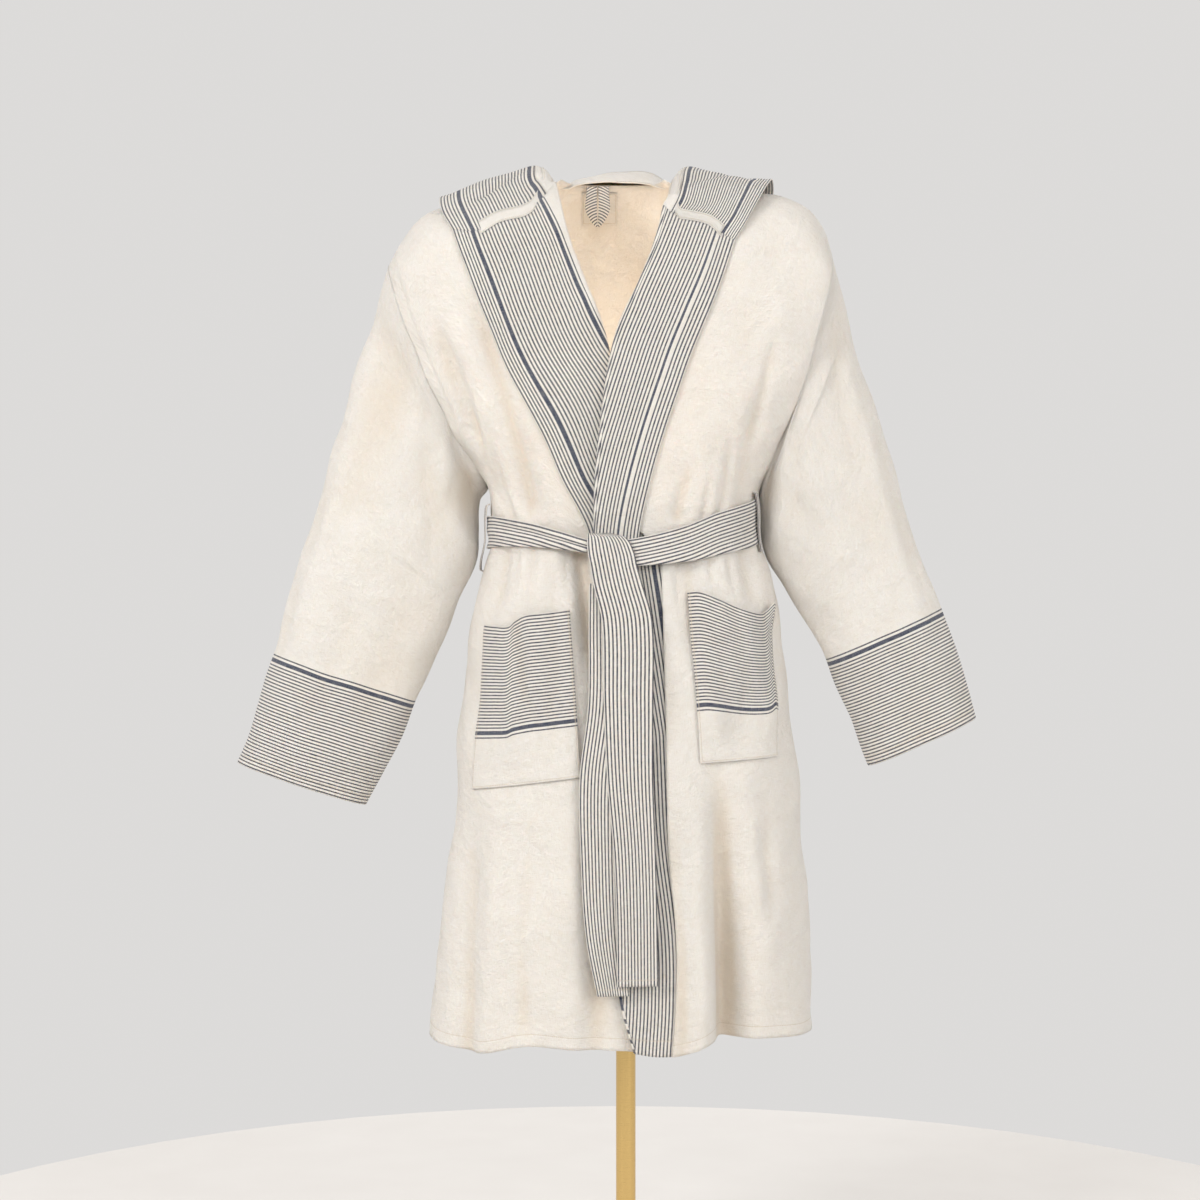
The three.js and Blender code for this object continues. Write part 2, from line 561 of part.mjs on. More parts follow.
// Rows of the panels: even steps below the armpit, closer at the waist, then up the armhole
const LOW_ROWS = [
  0, 0.075, 0.155, 0.24, 0.325, 0.41, 0.49, 0.565, 0.635, 0.7, 0.755, 0.805, 0.85, 0.9036,
  0.935, 0.967, 1,
];
const ARMHOLE_STEPS = 9;
const PANEL_ROWS = LOW_ROWS.length - 1 + ARMHOLE_STEPS;
const lowZ = (r) => lerp(HEM, ARMPIT_RIGHT.z, LOW_ROWS[r]);
const armholeShare = (r) => {
  const step = (r - LOW_ROWS.length + 1) / ARMHOLE_STEPS;
  return lerp(step, (1 - Math.cos(Math.PI * step)) / 2, 0.6); // closer rows at both ends
};
const isLow = (r) => r < LOW_ROWS.length;
// The front hem waves a little: its height at x, fading over the lowest rows
const HEM_LINE = [
  { x: -250, z: 357 },
  { x: -185, z: 349 },
  { x: -125, z: 360 },
  { x: -60, z: 356 },
  { x: 0, z: 352 },
  { x: 35, z: 346 },
  { x: 70, z: 347 },
  { x: 110, z: 360 },
  { x: 246, z: 357 },
];
const hemDrop = (x, r) => (along(HEM_LINE, 'x', x, 'z') - HEM) * clamp(1 - r / 3, 0, 1);
function armholeX(armpit, tip, share) {
  const bow = Math.sign(tip.x) * ARMHOLE_BOW * Math.sin(Math.PI * share) * smooth(share * 4);
  return lerp(armpit.x, tip.x, share) + bow;
}

// A front panel, from its band seam to the side seam and armhole, side is -1 right, 1 left
function frontPanel(side, cols, seamX) {
  const armpit = side < 0 ? ARMPIT_RIGHT : ARMPIT_LEFT;
  const tip = side < 0 ? TIP_RIGHT : TIP_LEFT;
  const neckX = side < 0 ? NECK_RIGHT_X : NECK_LEFT_X;
  return grid(PANEL_ROWS, cols, (v, u, r) => {
    const share = side < 0 ? 1 - u : u;
    if (isLow(r)) {
      const z = lowZ(r);
      const turn = lerp(turnAt(seamX(z), z), (side * Math.PI) / 2, share);
      const p = ring(turn, z);
      if (side < 0) p.y += sink(p.baseX, z);
      p.z += hemDrop(p.baseX, r) * smooth(Math.cos(turn) * 3);
      return p;
    }
    const q = armholeShare(r);
    const topX = lerp(neckX, tip.x, share);
    const z = lerp(armpit.z, shoulderZ(topX), q);
    const seamZ = lerp(armpit.z, shoulderZ(neckX), q);
    const startX = lerp(seamX(seamZ), neckX, smooth((q - 0.6) / 0.4));
    const endX = armholeX(armpit, tip, q);
    return panelPoint(side, lerp(startX, endX, share), z);
  });
}

function seamRight(z) {
  const above = edge(z, 'rollRight') - RETURN_RIGHT;
  return lerp(RIGHT_SKIRT_SEAM, above, smooth((z - 930) / 90));
}
function seamLeft(z) {
  const above = edge(z, 'rollLeft') + RETURN_LEFT;
  return lerp(skirt(z, 'seam'), above, smooth((z - 960) / 60));
}
const frontRight = sheetOf(frontPanel(-1, 10, seamRight));
const frontLeft = sheetOf(frontPanel(1, 10, seamLeft));

// The back panel, from the left side seam round to the right one; its shoulder columns match
// the fronts' and its neck edge lies between them
const SHOULDER_COLS = 10;
const NECK_COLS = 5;
const BACK_COLS = 2 * SHOULDER_COLS + NECK_COLS;
function backTop(c) {
  if (c <= SHOULDER_COLS) return lerp(TIP_LEFT.x, NECK_LEFT_X, c / SHOULDER_COLS);
  const beyond = c - SHOULDER_COLS - NECK_COLS;
  if (beyond >= 0) return lerp(NECK_RIGHT_X, TIP_RIGHT.x, beyond / SHOULDER_COLS);
  return lerp(NECK_LEFT_X, NECK_RIGHT_X, (c - SHOULDER_COLS) / NECK_COLS);
}
const back = sheetOf(grid(PANEL_ROWS, BACK_COLS, (v, u, r, c) => {
  if (isLow(r)) return ring(lerp(Math.PI / 2, 1.5 * Math.PI, u), lowZ(r));
  const q = armholeShare(r);
  const topX = backTop(c);
  const z = lerp(ARMPIT_LEFT.z, Math.min(shoulderZ(topX), NECK_BACK_Z), q);
  const evenX = lerp(armholeX(ARMPIT_LEFT, TIP_LEFT, q), armholeX(ARMPIT_RIGHT, TIP_RIGHT, q), u);
  if (c === 0 || c === BACK_COLS) return onBack(evenX, z);
  return onBack(lerp(evenX, topX, smooth(q)), z);
}));

// A sleeve: its first ring is the armhole, the others are flattened rings down to the cuff
function sleeve(side, front, table, troughs) {
  const around = [];
  const low = LOW_ROWS.length - 1;
  const frontEdge = side < 0 ? 0 : front.points[0].length - 1;
  const backEdge = side < 0 ? BACK_COLS : 0;
  for (let r = PANEL_ROWS; r > low; r -= 1) around.push(front.points[r][frontEdge]);
  for (let r = low; r < PANEL_ROWS; r += 1) around.push(back.points[r][backEdge]);
  const steps = around.length;
  const rings = grid(table.length, steps, (v, u, r, c) => {
    if (r === 0) return around[c % steps].clone();
    const row = table[r - 1];
    const turn = 2 * Math.PI * u;
    const power = 2 / SLEEVE_POWER;
    const reach = Math.sign(Math.cos(turn)) * Math.abs(Math.cos(turn)) ** power;
    const deep = Math.sign(Math.sin(turn)) * Math.abs(Math.sin(turn)) ** power;
    let pinch = 0;
    for (const fold of troughs) {
      const away = Math.abs((((c * 360) / steps - fold.turn + 540) % 360) - 180);
      const share = (r - fold.from) / (fold.to - fold.from);
      if (share <= 0 || share > 1) continue;
      const fade = Math.sin(Math.PI * Math.min(share + 0.15, 1));
      pinch += fold.depth * fade * Math.exp(-((away / fold.spread) ** 2));
    }
    const halfX = (row.outX - row.inX) / 2;
    const halfZ = (row.outZ - row.inZ) / 2;
    const depth = deep > 0 ? row.front : row.back;
    const size = 1 - pinch / Math.hypot(halfX * reach, halfZ * reach, depth * deep);
    return new THREE.Vector3(
      (row.outX + row.inX) / 2 + halfX * reach * size,
      row.mid - depth * deep * size,
      (row.outZ + row.inZ) / 2 + halfZ * reach * size,
    );
  });
  // both sleeves are wound so that their faces point out
  rings.reverse();
  if (side > 0) return sheetOf(rings.map((line) => line.map((p, c) => line[(2 * steps - c) % steps])), true);
  return sheetOf(rings, true);
}
const sleeveRight = sleeve(-1, frontRight, SLEEVE_RIGHT, SLEEVE_FOLDS_RIGHT);
const sleeveLeft = sleeve(1, frontLeft, SLEEVE_LEFT, SLEEVE_FOLDS_LEFT);

// Lapels: each band comes from behind its roll, turns round it and lies out on the panel.
// reach is a place across it: how far along from the roll to the free edge, and the layer.
const LAPEL_COLS = [
  { way: -1, share: 0 },
  { way: -0.25, share: 0 },
  { way: 0, share: 0.5 },
  { way: 0.012, share: 1 },
  { way: 0.1, share: 1 },
  { way: 0.325, share: 1 },
  { way: 0.55, share: 1 },
  { way: 0.775, share: 1 },
  { way: 1, share: 1 },
];
const FIRST_OUTER = 3;
const LAPEL_ENDS = 1.5; // the bands of chest and skirt stop this far from each other
const LAPEL_TOP_RIGHT = [
  { way: 0, z: 1428 },
  { way: 0.15, z: 1404 },
  { way: 0.3, z: 1388 },
  { way: 0.55, z: 1380 },
  { way: 0.78, z: 1364 },
  { way: 1, z: 1366 },
];
const LAPEL_TOP_LEFT = [
  { way: 0, z: 1395 },
  { way: 0.12, z: 1385 },
  { way: 0.35, z: 1382 },
  { way: 0.6, z: 1376 },
  { way: 0.85, z: 1358 },
  { way: 1, z: 1352 },
];
const FIRST_LAPEL_ROW = 13;
function lapel(side, rowsAbove) {
  const name = side < 0 ? 'Right' : 'Left';
  const top = side < 0 ? LAPEL_TOP_RIGHT : LAPEL_TOP_LEFT;
  const last = LOW_ROWS.length - 1 + rowsAbove;
  const hidden = side < 0 ? RETURN_RIGHT : RETURN_LEFT;
  const neckZ = shoulderZ(side < 0 ? NECK_RIGHT_X : NECK_LEFT_X);
  const seamZ = (r) => (isLow(r) ? lowZ(r) : lerp(ARMPIT_RIGHT.z, neckZ, armholeShare(r)));
  const startZ = seamZ(FIRST_LAPEL_ROW);
  const endZ = seamZ(last);
  const points = grid(last - FIRST_LAPEL_ROW, LAPEL_COLS.length - 1, (v, u, r, c) => {
    const { way, share } = LAPEL_COLS[c];
    const seam = seamZ(r + FIRST_LAPEL_ROW);
    const rise = (seam - startZ) / (endZ - startZ);
    const z = lerp(startZ, along(top, 'way', Math.max(way, 0), 'z'), rise);
    if (c === 0) {
      const seamX = side < 0 ? seamRight(seam) : seamLeft(seam);
      const lift = smooth((armholeShare(r + FIRST_LAPEL_ROW) - 0.6) / 0.4);
      const neckX = side < 0 ? NECK_RIGHT_X : NECK_LEFT_X;
      return panelPoint(side, isLow(r + FIRST_LAPEL_ROW) ? seamX : lerp(seamX, neckX, lift), seam);
    }
    const roll = edge(z, `roll${name}`);
    const free = edge(z, `free${name}`);
    const x = way < 0 ? roll + side * hidden * -way : lerp(roll, free, way);
    const layer = share === 1 ? lerp(ROLL_RISE, ON_TOP, way) : ROLL_RISE * share;
    return panelPoint(side, x, z, layer, 1);
  });
  if (side > 0) return sheetOf(points.map((line) => [...line].reverse()));
  return sheetOf(points);
}
const lapelRight = lapel(-1, 8);
const lapelLeft = lapel(1, 7);
lift(lapelRight, [{ on: frontRight }], { held: (r, c) => c < FIRST_OUTER });
lift(lapelLeft, [{ on: frontLeft }], { held: (r, c) => c > LAPEL_COLS.length - 1 - FIRST_OUTER });

// Skirt bands: the left one starts under the panel's edge and its free part is turned back at
// a fold; the right one lies behind it
const UNDER_EDGE = 9;
const SKIRT_COLS_LEFT = [
  { way: 1, share: 0 },
  { way: 0.75, share: 0 },
  { way: 0.5, share: 0 },
  { way: 0.25, share: 0 },
  { way: 0.04, share: 0 },
  { way: 0, share: 0.5 },
  { way: 0.04, share: 1 },
  { way: 0.55, share: 1 },
];
const TURNED_BACK = 46;
const SKIRT_RISE = 5.6; // depth of the turned-back layer behind the band
const skirtZ = (r) => (r === FIRST_LAPEL_ROW ? BELT - LAPEL_ENDS - 1 : lowZ(r));
const skirtLeft = sheetOf(grid(FIRST_LAPEL_ROW, SKIRT_COLS_LEFT.length - 1, (v, u, r, c) => {
  const { way, share } = SKIRT_COLS_LEFT[SKIRT_COLS_LEFT.length - 1 - c];
  const z = skirtZ(r);
  const fold = skirt(z, 'fold');
  const end = skirt(z, 'seam') + UNDER_EDGE;
  const x = share === 1 ? fold + TURNED_BACK * way : lerp(fold, end, way);
  const p = panelPoint(1, x, z, -ON_TOP - SKIRT_RISE * share, 0.3);
  p.z += hemDrop(x, r);
  return p;
}));
const skirtRight = sheetOf(grid(FIRST_LAPEL_ROW, 5, (v, u, r) => {
  const z = skirtZ(r);
  const end = lerp(SKIRT_BAND_END.foot, SKIRT_BAND_END.top, smooth((z - 560) / 200));
  return panelPoint(-1, lerp(seamRight(z) + 0.8, end, u), z, 0, 0.3);
}));
lift(skirtLeft, [{ on: frontLeft, side: -1 }], { held: (r, c) => c < 3 });

// A point over the shoulders: a run over the ridge from it, front negative, then down
const QUARTER = 158; // run from the ridge to where the front or back hangs straight
function overShoulder(x, run, off) {
  const away = Math.abs(run);
  const bend = Math.min(away / QUARTER, 1) * (Math.PI / 2);
  const z = shoulderZ(x) - SHOULDER_ROUND * (1 - Math.cos(bend)) - Math.max(away - QUARTER, 0);
  return run < 0 ? ring(turnAt(x, z), z, off, 0.3) : onBack(x, z, off, 0.3);
}

// The hood: way across it runs from the outer free edge to the neck edge
const HOOD_ROWS = 16;
function hoodPoint(side, v, way) {
  const table = (side < 0 ? HOOD_RIGHT : HOOD_LEFT).map((row, i) => ({ ...row, i }));
  const at = v * (table.length - 1);
  const get = (column) => along(table, 'i', at, column);
  const x = lerp(get('outX'), get('neckX'), way);
  const run = lerp(get('outRun'), get('neckRun'), way);
  const hump = Math.sin(Math.PI * way ** 5);
  const middle = Math.sin(Math.PI * way) ** 1.2;
  const off = get('rise') * hump + get('puff') * middle + get('edge') * (1 - way) ** 3;
  return overShoulder(x, run, ON_TOP + off);
}
function hoodWidth(side, v) {
  const ends = [hoodPoint(side, v, 0), hoodPoint(side, v, 1)];
  return ends[0].distanceTo(ends[1]);
}
const HOOD_START = 0.9; // share of the band at the front edge of the hood
function bandShare(side, v) {
  const width = hoodWidth(side, v);
  const open = Math.min(1 - HOOD_MARGIN / width, HOOD_BAND / width);
  return lerp(HOOD_START, open, smooth(v * 6));
}
// Place on the top edge of the lapel, where the hood is sewn on
const LAPEL_STOPS = [0, 0.225, 0.45, 0.675, 0.9, 0.988];
function lapelTop(side, way, off = 0) {
  const sheet = side < 0 ? lapelRight : lapelLeft;
  let i = 0;
  while (i < LAPEL_STOPS.length - 2 && way > LAPEL_STOPS[i + 1] + 1e-6) i += 1;
  const t = (Math.min(way, 0.988) - LAPEL_STOPS[i]) / (LAPEL_STOPS[i + 1] - LAPEL_STOPS[i]);
  const col = side < 0 ? LAPEL_COLS.length - 1 - i - t : i + t;
  return onGrid(sheet, sheet.points.length - 1, col, -off);
}
const HOOD_BAND_COLS = 4;
const HOOD_CREAM_COLS = 6;
const HOOD_SEAM = 0.5; // gap to the lapel at the seam
function hoodPart(side, isBand) {
  const cols = isBand ? HOOD_BAND_COLS : HOOD_CREAM_COLS;
  const ways = (v, u) => (isBand ? bandShare(side, v) * u : lerp(bandShare(side, v), 1, u));
  const points = grid(HOOD_ROWS, cols, (v, u) => hoodPoint(side, v, ways(v, u)));
  points[0] = points[0].map((p, c) => lapelTop(side, ways(0, c / cols)));
  const sheet = sheetOf(side < 0 ? points.map((line) => [...line].reverse()) : points);
  const bases = [{ on: frontRight }, { on: frontLeft }, { on: back }];
  lift(sheet, bases, { distance: CLEAR + 0.4, held: (r) => r === 0 });
  sheet.points[0].forEach((p, c) => {
    const u = side < 0 ? 1 - c / cols : c / cols;
    const way = ways(0, u);
    sheet.normals[0][c] = lapelTop(side, way, -1).sub(lapelTop(side, way)).normalize();
    const step = sheet.points[1][c].clone().sub(p).setLength(HOOD_SEAM);
    sheet.points[0][c] = p.clone().add(step);
  });
  return sheet;
}
const hoodBandRight = hoodPart(-1, true);
const hoodBandLeft = hoodPart(1, true);
const hoodRight = hoodPart(-1, false);
const hoodLeft = hoodPart(1, false);

// Neck tape: over the seam on both lapels, then up and round the neck edge of the hood. Its
// upper edge lies on the hood all along, its lower one on the lapels and the neck edge.
const TAPE_WIDTH = 13;
const TAPE_OFF = 2.3;
const TAPE_ENDS = { right: 0.24, left: 0.2 }; // where it stops, across each lapel
const TAPE_EDGE = 0.6; // it stops this far inside the hood's neck edge
function hoodSpot(side, row, way) {
  const share = bandShare(side, row / HOOD_ROWS);
  const isBand = way <= share;
  const [band, cream] = side < 0 ? [hoodBandRight, hoodRight] : [hoodBandLeft, hoodLeft];
  const cols = isBand ? HOOD_BAND_COLS : HOOD_CREAM_COLS;
  const across = isBand ? way / share : (way - share) / (1 - share);
  return onGrid(isBand ? band : cream, row, cols * (side < 0 ? 1 - across : across), -TAPE_OFF);
}
function tapeAcross(side, way) {
  const lapelSheet = side < 0 ? lapelRight : lapelLeft;
  const last = lapelSheet.points.length - 1;
  const upStep = hoodSpot(side, 1, way).distanceTo(hoodSpot(side, 0, way));
  const col = side < 0 ? (LAPEL_COLS.length - 1) - (way / 0.225) : way / 0.225;
  const low = (row) => onGrid(lapelSheet, row, col, -TAPE_OFF);
  const downStep = low(last).distanceTo(low(last - 1));
  const upper = hoodSpot(side, TAPE_WIDTH / 2 / upStep, way);
  const lower = low(last - TAPE_WIDTH / 2 / downStep);
  return [lower, lower.clone().lerp(upper, 0.5), upper];
}
function tapeUp(side, v) {
  const width = hoodWidth(side, v);
  return [0, 0.5, 1].map((t) => hoodSpot(side, v * HOOD_ROWS, 1 - (TAPE_EDGE + t * TAPE_WIDTH) / width));
}
const tapeLines = [
  ...[TAPE_ENDS.right, 0.35, 0.46, 0.57, 0.68, 0.78].map((way) => tapeAcross(-1, way)),
  ...[0.13, 0.19, 0.25, 0.32, 0.4, 0.48, 0.56, 0.65, 0.74, 0.83, 0.92].map((v) => tapeUp(-1, v)),
  ...[0.98, 0.9, 0.81, 0.72, 0.64, 0.56, 0.48, 0.4, 0.32, 0.25, 0.19, 0.13].map((v) => tapeUp(1, v)),
  ...[0.84, 0.72, 0.6, 0.47, 0.34, TAPE_ENDS.left].map((way) => tapeAcross(1, way)),
];
const tape = sheetOf([0, 1, 2].map((i) => tapeLines.map((line) => line[i])));
const turnedOut = [lapelRight, lapelLeft, hoodBandRight, hoodBandLeft, hoodRight, hoodLeft];
const panels = [frontRight, frontLeft, back];
const tapeBases = [...turnedOut.map((on) => ({ on, side: -1 })), ...panels.map((on) => ({ on }))];
lift(tape, tapeBases, { distance: 2.2, own: true });

// Pockets: the mouth hangs a little open
function pocket(side, corners) {
  const cols = 7;
  const points = grid(8, cols, (v, u) => {
    const share = side < 0 ? u : 1 - u;
    const [x, z] = [0, 1].map((k) => {
      const low = lerp(corners.lowOut[k], corners.lowIn[k], share);
      return lerp(low, lerp(corners.topOut[k], corners.topIn[k], share), v);
    });
    const slack = POCKET_SLACK * Math.sin(Math.PI * share) * smooth(v * 1.2);
    return panelPoint(side, x, z, ON_TOP + slack, 1 - 0.4 * v);
  });
  return sheetOf(points);
}
const pocketRight = pocket(-1, POCKET_RIGHT);
const pocketLeft = pocket(1, POCKET_LEFT);
lift(pocketRight, [{ on: frontRight }]);
lift(pocketLeft, [{ on: frontLeft }]);

// Belt
const rad = (degrees) => (degrees * Math.PI) / 180;
const BELT_RIGHT_TURNS = [
  { turn: -96, z: 993, wide: 40, off: 4.2 },
  { turn: -66, z: 993, wide: 38, off: 4.2 },
  { turn: -40, z: 988, wide: 30, off: 6.5 },
  { turn: -24, z: 981, wide: 22, off: 10.5 },
  { turn: -11.6, z: 973, wide: 15, off: 13.5 },
];
const BELT_LEFT_TURNS = [
  { turn: 3.25, z: 966, wide: 34, off: 13.5 },
  { turn: 21, z: 976, wide: 43, off: 9 },
  { turn: 40, z: 990, wide: 51, off: 5.5 },
  { turn: 74, z: 1006, wide: 57, off: 4.2 },
];
const BELT_JOIN = 0.12; // degrees between two stretches
function beltStretch(table, cols) {
  const first = table[0].turn;
  const last = table[table.length - 1].turn;
  return sheetOf(grid(2, cols, (v, u) => {
    const turn = lerp(first, last, u);
    const get = (column) => along(table, 'turn', turn, column);
    return ring(rad(turn), get('z') + (v - 0.5) * get('wide'), get('off'), 0);
  }));
}
const beltRight = beltStretch(BELT_RIGHT_TURNS, 9);
const beltLeft = beltStretch(BELT_LEFT_TURNS, 8);
const beltBack = beltStretch([
  { turn: 74 + BELT_JOIN, z: 1006, wide: BELT_WIDTH, off: 4.2 },
  { turn: 140, z: 1010, wide: BELT_WIDTH, off: 4.2 },
  { turn: 210, z: 1006, wide: 52, off: 4.2 },
  { turn: 264 - BELT_JOIN, z: 993, wide: 40, off: 4.2 },
], 22);

// The knot: the belt's front end wrapped over the rest
const KNOT_SHAPE = { left: -46, right: 12, low: 927.5, high: 987, off: 16.3, thick: 13 };
const knot = sheetOf(grid(6, 6, (v, u) => {
  const round = Math.sin(Math.PI * clamp(v, 0.04, 0.96)) ** 0.35;
  const narrow = lerp(1, 0.86, v);
  const middle = (KNOT_SHAPE.left + KNOT_SHAPE.right) / 2;
  const x = lerp(middle, lerp(KNOT_SHAPE.left, KNOT_SHAPE.right, u), narrow);
  const z = lerp(KNOT_SHAPE.low, KNOT_SHAPE.high, v) - 3 * u * v;
  return panelPoint(1, x, z, KNOT_SHAPE.off - 4 * (1 - round), 0);
}));

function tail(table) {
  const rows = table.map((row) => ({ ...row, down: -row.z }));
  const first = rows[0].down;
  const last = rows[rows.length - 1].down;
  return sheetOf(grid(14, 3, (v, u) => {
    const down = lerp(last, first, v);
    const get = (column) => along(rows, 'down', down, column);
    const cup = 1.5 * Math.sin(Math.PI * u);
    return panelPoint(1, lerp(get('x1'), get('x2'), u), -down, get('off') + cup, 0);
  }));
}
const tailFront = tail(TAIL_FRONT);
const tailBack = tail(TAIL_BACK);

// Belt loops: straps sewn on at both ends, bowed out over the belt
const LOOP_FOOT_OFF = 2.5;
function beltLoop({ turn, top, foot, off, wide }) {
  const halfTurn = Math.atan2(wide / 2, 170) * (180 / Math.PI);
  return sheetOf(grid(9, 1, (v, u) => {
    const bow = lerp(LOOP_FOOT_OFF, off, Math.sin(Math.PI * v) ** 0.25);
    return ring(rad(turn + (u - 0.5) * 2 * halfTurn), lerp(foot, top, v), bow, 0);
  }));
}

// Hanging loop and label inside the back of the neck
const LOOP_SHAPE = [
  { z: 1393, half: 3, y: 53 },
  { z: 1402, half: 10, y: 53 },
  { z: 1416, half: 16, y: 53.2 },
  { z: 1432, half: 15, y: 54.8 },
  { z: 1446, half: 14, y: 56.7 },
];
const LOOP_X = -36;
const hangingLoop = sheetOf(grid(LOOP_SHAPE.length - 1, 2, (v, u, r) => {
  const row = LOOP_SHAPE[r];
  return new THREE.Vector3(LOOP_X + (u - 0.5) * 2 * row.half, row.y - 1.2 * (1 - Math.abs(2 * u - 1)), row.z);
}));
const LABEL_COLS = [12.3, 12.65, 13, 13.4, 13.8]; // on the columns and rows of the back panel
const LABEL_ROWS = [23.55, 24, 24.4, 24.8];
const LABEL_OFF = -2.3;
const label = sheetOf(LABEL_ROWS.map((row) => LABEL_COLS.map((col) => onGrid(back, row, col, LABEL_OFF))));

sew([frontRight, frontLeft, back, sleeveRight, sleeveLeft, lapelRight, lapelLeft]);
sew([hoodBandRight, hoodBandLeft, hoodRight, hoodLeft]);
add('back', wall(back), CREAM);
add('front_right', wall(frontRight), CREAM);
add('front_left', wall(frontLeft), CREAM);
add('sleeve_right', wall(sleeveRight), CREAM);
add('sleeve_left', wall(sleeveLeft), CREAM);
add('front_band_right', wall(lapelRight), STRIPED);
add('front_band_left', wall(lapelLeft), STRIPED);
add('skirt_band_right', wall(skirtRight), STRIPED);
add('skirt_band_left', wall(skirtLeft), STRIPED);
add('hood_band_right', wall(hoodBandRight), STRIPED);
add('hood_band_left', wall(hoodBandLeft), STRIPED);
add('hood_right', wall(hoodRight), CREAM);
add('hood_left', wall(hoodLeft), CREAM);
add('neck_tape', wall(tape, 1.2), CREAM);
add('hanging_loop', wall(hangingLoop, 1.6), STRIPED);
add('neck_label', wall(label, 1), CREAM);
add('pocket_right', wall(pocketRight), STRIPED);
add('pocket_left', wall(pocketLeft), STRIPED);
add('belt_front_right', wall(beltRight), STRIPED);
add('belt_front_left', wall(beltLeft), STRIPED);
add('belt_back', wall(beltBack), STRIPED);
add('belt_knot', wall(knot, KNOT_SHAPE.thick), STRIPED);
add('belt_tail_front', wall(tailFront), STRIPED);
add('belt_tail_back', wall(tailBack), STRIPED);
add('belt_loop_right', wall(beltLoop(LOOPS.right)), STRIPED);
add('belt_loop_left', wall(beltLoop(LOOPS.left)), STRIPED);

// The stand: a turned base, a pole, a yoke up to both shoulders and a pad on each end
const BOSS = { radius: 24, high: 20 };
const EDGE_ROUND = 5;
const baseProfile = [new THREE.Vector2(0, 0), new THREE.Vector2(BASE_RADIUS, 0)];
for (const share of [0, 0.5, 1]) {
  const bend = (share * Math.PI) / 2;
  const out = BASE_RADIUS - EDGE_ROUND + EDGE_ROUND * Math.cos(bend);
  baseProfile.push(new THREE.Vector2(out, BASE_HIGH - EDGE_ROUND + EDGE_ROUND * Math.sin(bend)));
}
baseProfile.push(new THREE.Vector2(BOSS.radius, BASE_HIGH + 1));
baseProfile.push(new THREE.Vector2(BOSS.radius - 4, BOSS.high));
baseProfile.push(new THREE.Vector2(0, BOSS.high));
const base = new THREE.LatheGeometry(baseProfile, 40);
base.rotateX(Math.PI / 2);
add('stand_base', base, BRASS);

const YOKE = [
  { x: -192, y: 10, z: 1384.6 },
  { x: -190, y: 10, z: 1310 },
  { x: -168, y: 8, z: 1235 },
  { x: -105, y: 3, z: 1183 },
  { x: 0, y: 0, z: 1164 },
  { x: 92, y: 3, z: 1186 },
  { x: 146, y: 8, z: 1240 },
  { x: 163, y: 10, z: 1312 },
  { x: 164, y: 10, z: 1392.8 },
];
const yokePath = new THREE.CatmullRomCurve3(YOKE.map(({ x, y, z }) => new THREE.Vector3(x, y, z)));
const tubeSection = new THREE.Shape();
tubeSection.absarc(0, 0, YOKE_RADIUS, 0, 2 * Math.PI);
const yoke = new THREE.ExtrudeGeometry(tubeSection, { steps: 20, curveSegments: 5, extrudePath: yokePath });
add('stand_yoke', yoke, BRASS);
const yokeLow = YOKE[4].z - YOKE_RADIUS;
const poleHigh = yokeLow - TOUCH - BOSS.high - TOUCH;
const pole = new THREE.CylinderGeometry(POLE_RADIUS, POLE_RADIUS, poleHigh, 24);
pole.rotateX(Math.PI / 2);
pole.translate(0, 0, BOSS.high + TOUCH + poleHigh / 2);
add('stand_pole', pole, BRASS);
// A pad is let down until the cloth over it clears it
function padDrop(pad, gap) {
  const faces = [frontRight, frontLeft, back].flatMap((sheet) => trianglesOf(sheet));
  const at = pad.getAttribute('position');
  const p = new THREE.Vector3();
  const found = new THREE.Vector3();
  let drop = 0;
  for (let round = 0; round < 8; round += 1) {
    let nearest = Infinity;
    for (let i = 0; i < at.count; i += 1) {
      p.fromBufferAttribute(at, i);
      p.z -= drop;
      for (const { triangle, normal } of faces) {
        triangle.closestPointToPoint(p, found);
        const away = found.distanceTo(p) * (found.sub(p).dot(normal) < 0 ? -1 : 1);
        if (Math.abs(away) < Math.abs(nearest)) nearest = away;
      }
    }
    drop += gap - nearest;
  }
  return drop;
}
const PAD_GAP = CLOTH / 2 + 0.6;
for (const [name, { x, slope }] of Object.entries(PADS)) {
  const pad = new THREE.SphereGeometry(1, 14, 10);
  pad.scale(PAD.long, PAD.deep, PAD.thick);
  pad.rotateY(-Math.atan(slope));
  pad.translate(x, 10, shoulderZ(x) - CLOTH / 2 - PAD.thick - 3);
  pad.translate(0, 0, -padDrop(pad, PAD_GAP));
  add(`stand_pad_${name}`, pad, PAD_WOOD);
}

export default robe;
